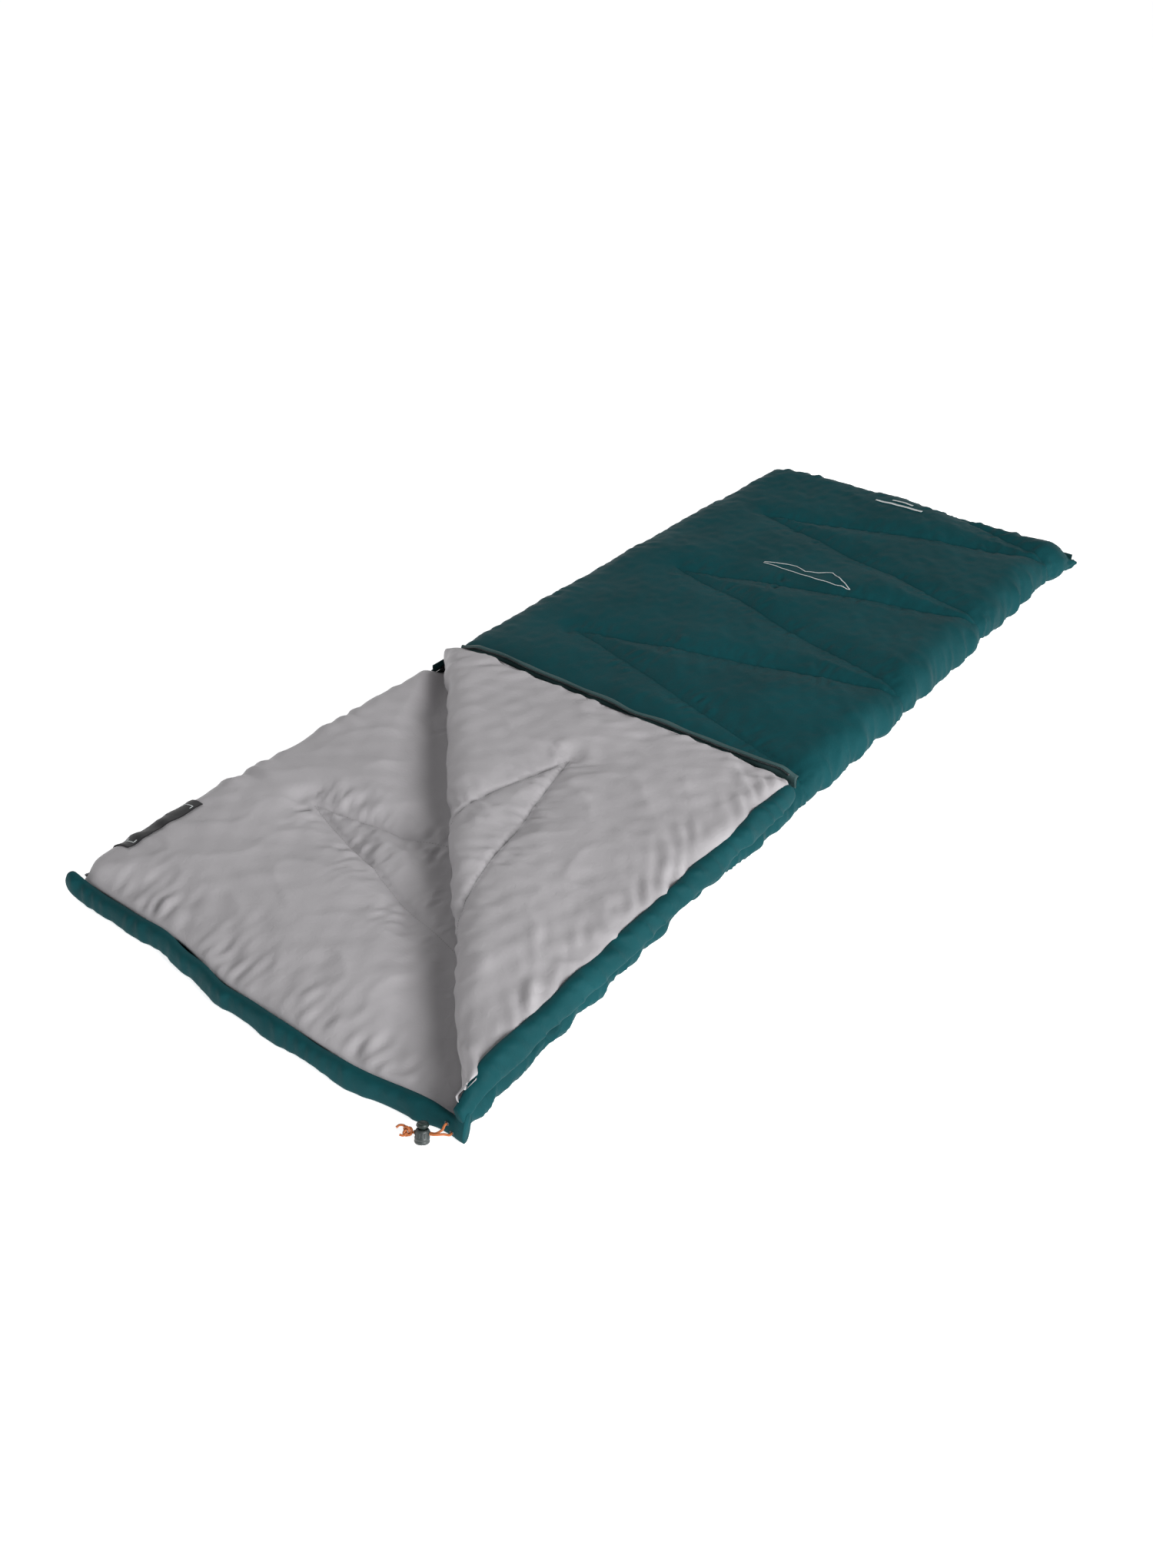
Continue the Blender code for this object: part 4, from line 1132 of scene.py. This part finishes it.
turn = circle_of(120)
knot_line = [
    in_lock(-0.0176 + r * math.cos(2 * a) * 0.85, 0.0019 * math.sin(3 * a), r * math.sin(2 * a))
    for a, r in zip(turn, 0.0042 + 0.0019 * np.cos(3 * turn))
]
knot = spline("drawcord_knot_loops", knot_line, CORD_RADIUS, CORD, 5, closed=True)
# in the lock's axes, in millimetres
TAILS = {
    "long": ((-19, 1, 2), (-22.5, 2, 5.5), (-27.5, 1, 6), (-31, -1, 3.5)),
    "short": ((-18, -1, -2), (-21.5, -3, -4.5), (-26.2, -4, -3.5)),
}
tails = [
    spline(f"drawcord_tail_{name}", through([in_lock(*p) for p in MM * np.array(line)], 6), 0.97 * CORD_RADIUS, CORD, 5)
    for name, line in TAILS.items()
]

# the lock's outlines, as radius and height in millimetres
BODY_OUTLINE = (
    (5.2, -12.2), (7.2, -12.4), (8.6, -11.8), (9.2, -10.4), (9.2, -8.8), (8.7, -8),
    (8.7, -7.2), (9.1, -6.4), (9.1, -5), (8.6, -4.2), (8.5, 2), (8.2, 3.2),
    (7.6, 4.5), (6.6, 5.1), (5.4, 5.2), (5.2, 1.2), (2, 1),
)
BUTTON_OUTLINE = (
    (1.6, 4), (4.6, 4.2), (4.7, 7.8), (6.6, 8), (7.3, 8.6), (7.5, 9.8),
    (7.3, 11.2), (6.6, 12.4), (5.2, 13.1), (3.6, 12.9), (1.8, 12.5), (0.4, 12.4),
)


def lathe(name, outline, material):
    """A turned form about the lock's own axis."""
    rows = [[in_lock(MM * r * math.cos(t), MM * r * math.sin(t), MM * h) for t in circle_of(48)] for r, h in outline]
    return loft(name, rows, material)


body = lathe("lock_barrel_body", BODY_OUTLINE, LOCK)
lock_pieces = [body]
grips, grip_radius = 16, 0.0085
for n in range(grips):
    t = ROUND * (n + 0.5) / grips
    if abs(math.sin(t)) > 0.5:
        rib = [in_lock(grip_radius * math.cos(t), grip_radius * math.sin(t), h) for h in (-0.0036, 0.0, 0.0026)]
        lock_pieces.append(spline(f"lock_grip_{n}", rib, 0.00065, LOCK, 2))
for n, x in enumerate((0.0084, -0.0084)):
    mouth = [in_lock(x, 0.0036 * math.cos(t), 0.0021 * math.sin(t)) for t in circle_of(32)]
    lock_pieces.append(spline(f"lock_mouth_{n}", mouth, 0.0006, LOCK, 2, closed=True))
dome = lathe("lock_cap_dome", BUTTON_OUTLINE, LOCK_TOP)
groove = [in_lock(0.0075 * math.cos(t), 0.0075 * math.sin(t), 0.0098) for t in circle_of(48)]
cap_ring = spline("lock_cap_groove", groove, 0.0003, LOCK_TOP, 1, closed=True)

# ---- how they move ----

for piece in (lining, label, *marks, low_sewing):
    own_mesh(piece)
RIDES = {
    "bottom_quilt": (lining, label, *marks, low_sewing, shell, hem, knot, *tails, *(s[2] for s in strands)),
    "top_quilt": (within, *prints),
    "corner_flap": (turned_hem, tape, teeth, core, end_stop),
    "cord_lock": lock_pieces,
    "cord_lock_button": (dome, cap_ring),
}
for rides_on, pieces in RIDES.items():
    for piece in pieces:
        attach(piece, rides_on)
for piece in (over, top_sewing):
    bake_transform(piece)
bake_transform(flap_under)
for piece in (flap_top, flap_sewing):
    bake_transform(piece)

REPLACED = (
    (lining, "bottom_lining", "bottom_batting"),
    (shell, "bottom_shell"),
    (over, "top_shell", "side_fold_strip", "top_batting"),
    (within, "top_lining"),
    (flap_top, "flap_lining", "flap_fold_strip", "flap_batting"),
    (flap_under, "flap_shell"),
    (hem, "bottom_head_hem", "bottom_drawcord"),
    (turned_hem, "flap_head_hem", "flap_drawcord"),
    (tape, "flap_zip_tape"),
    (teeth, "flap_zip_coil"),
    (end_stop, "flap_zip_stop"),
    (label, "woven_label"),
    (knot, "drawcord_knot"),
    (body, "lock_barrel", "lock_spring"),
    (dome, "lock_plunger"),
)
for piece, *nodes in REPLACED:
    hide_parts(*nodes)
for name, exit_at, strand, length in strands:
    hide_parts(f"drawcord_strand_{name}")

# ---- the CAD's own hard parts ----

FINISH = (
    (TAPE_DARK, ("zip_tape",)),
    (COIL, ("zip_coil",)),
    (METAL, ("zip_stop", "zip_retainer", "zip_insertion", "slider", "pull", "eyelet", "spring")),
    (LOCK, ("barrel",)),
    (LOCK_TOP, ("plunger",)),
)
for name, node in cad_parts.items():
    for finish, words in FINISH:
        if any(word in name for word in words):
            node.data.materials.clear()
            node.data.materials.append(finish)
            if finish not in (TAPE_DARK, COIL) and "spring" not in name:
                soften = node.modifiers.new("soft_edges", "BEVEL")
                soften.width = 0.00022
                soften.segments = 2
                soften.limit_method = "ANGLE"
                soften.angle_limit = math.radians(40)
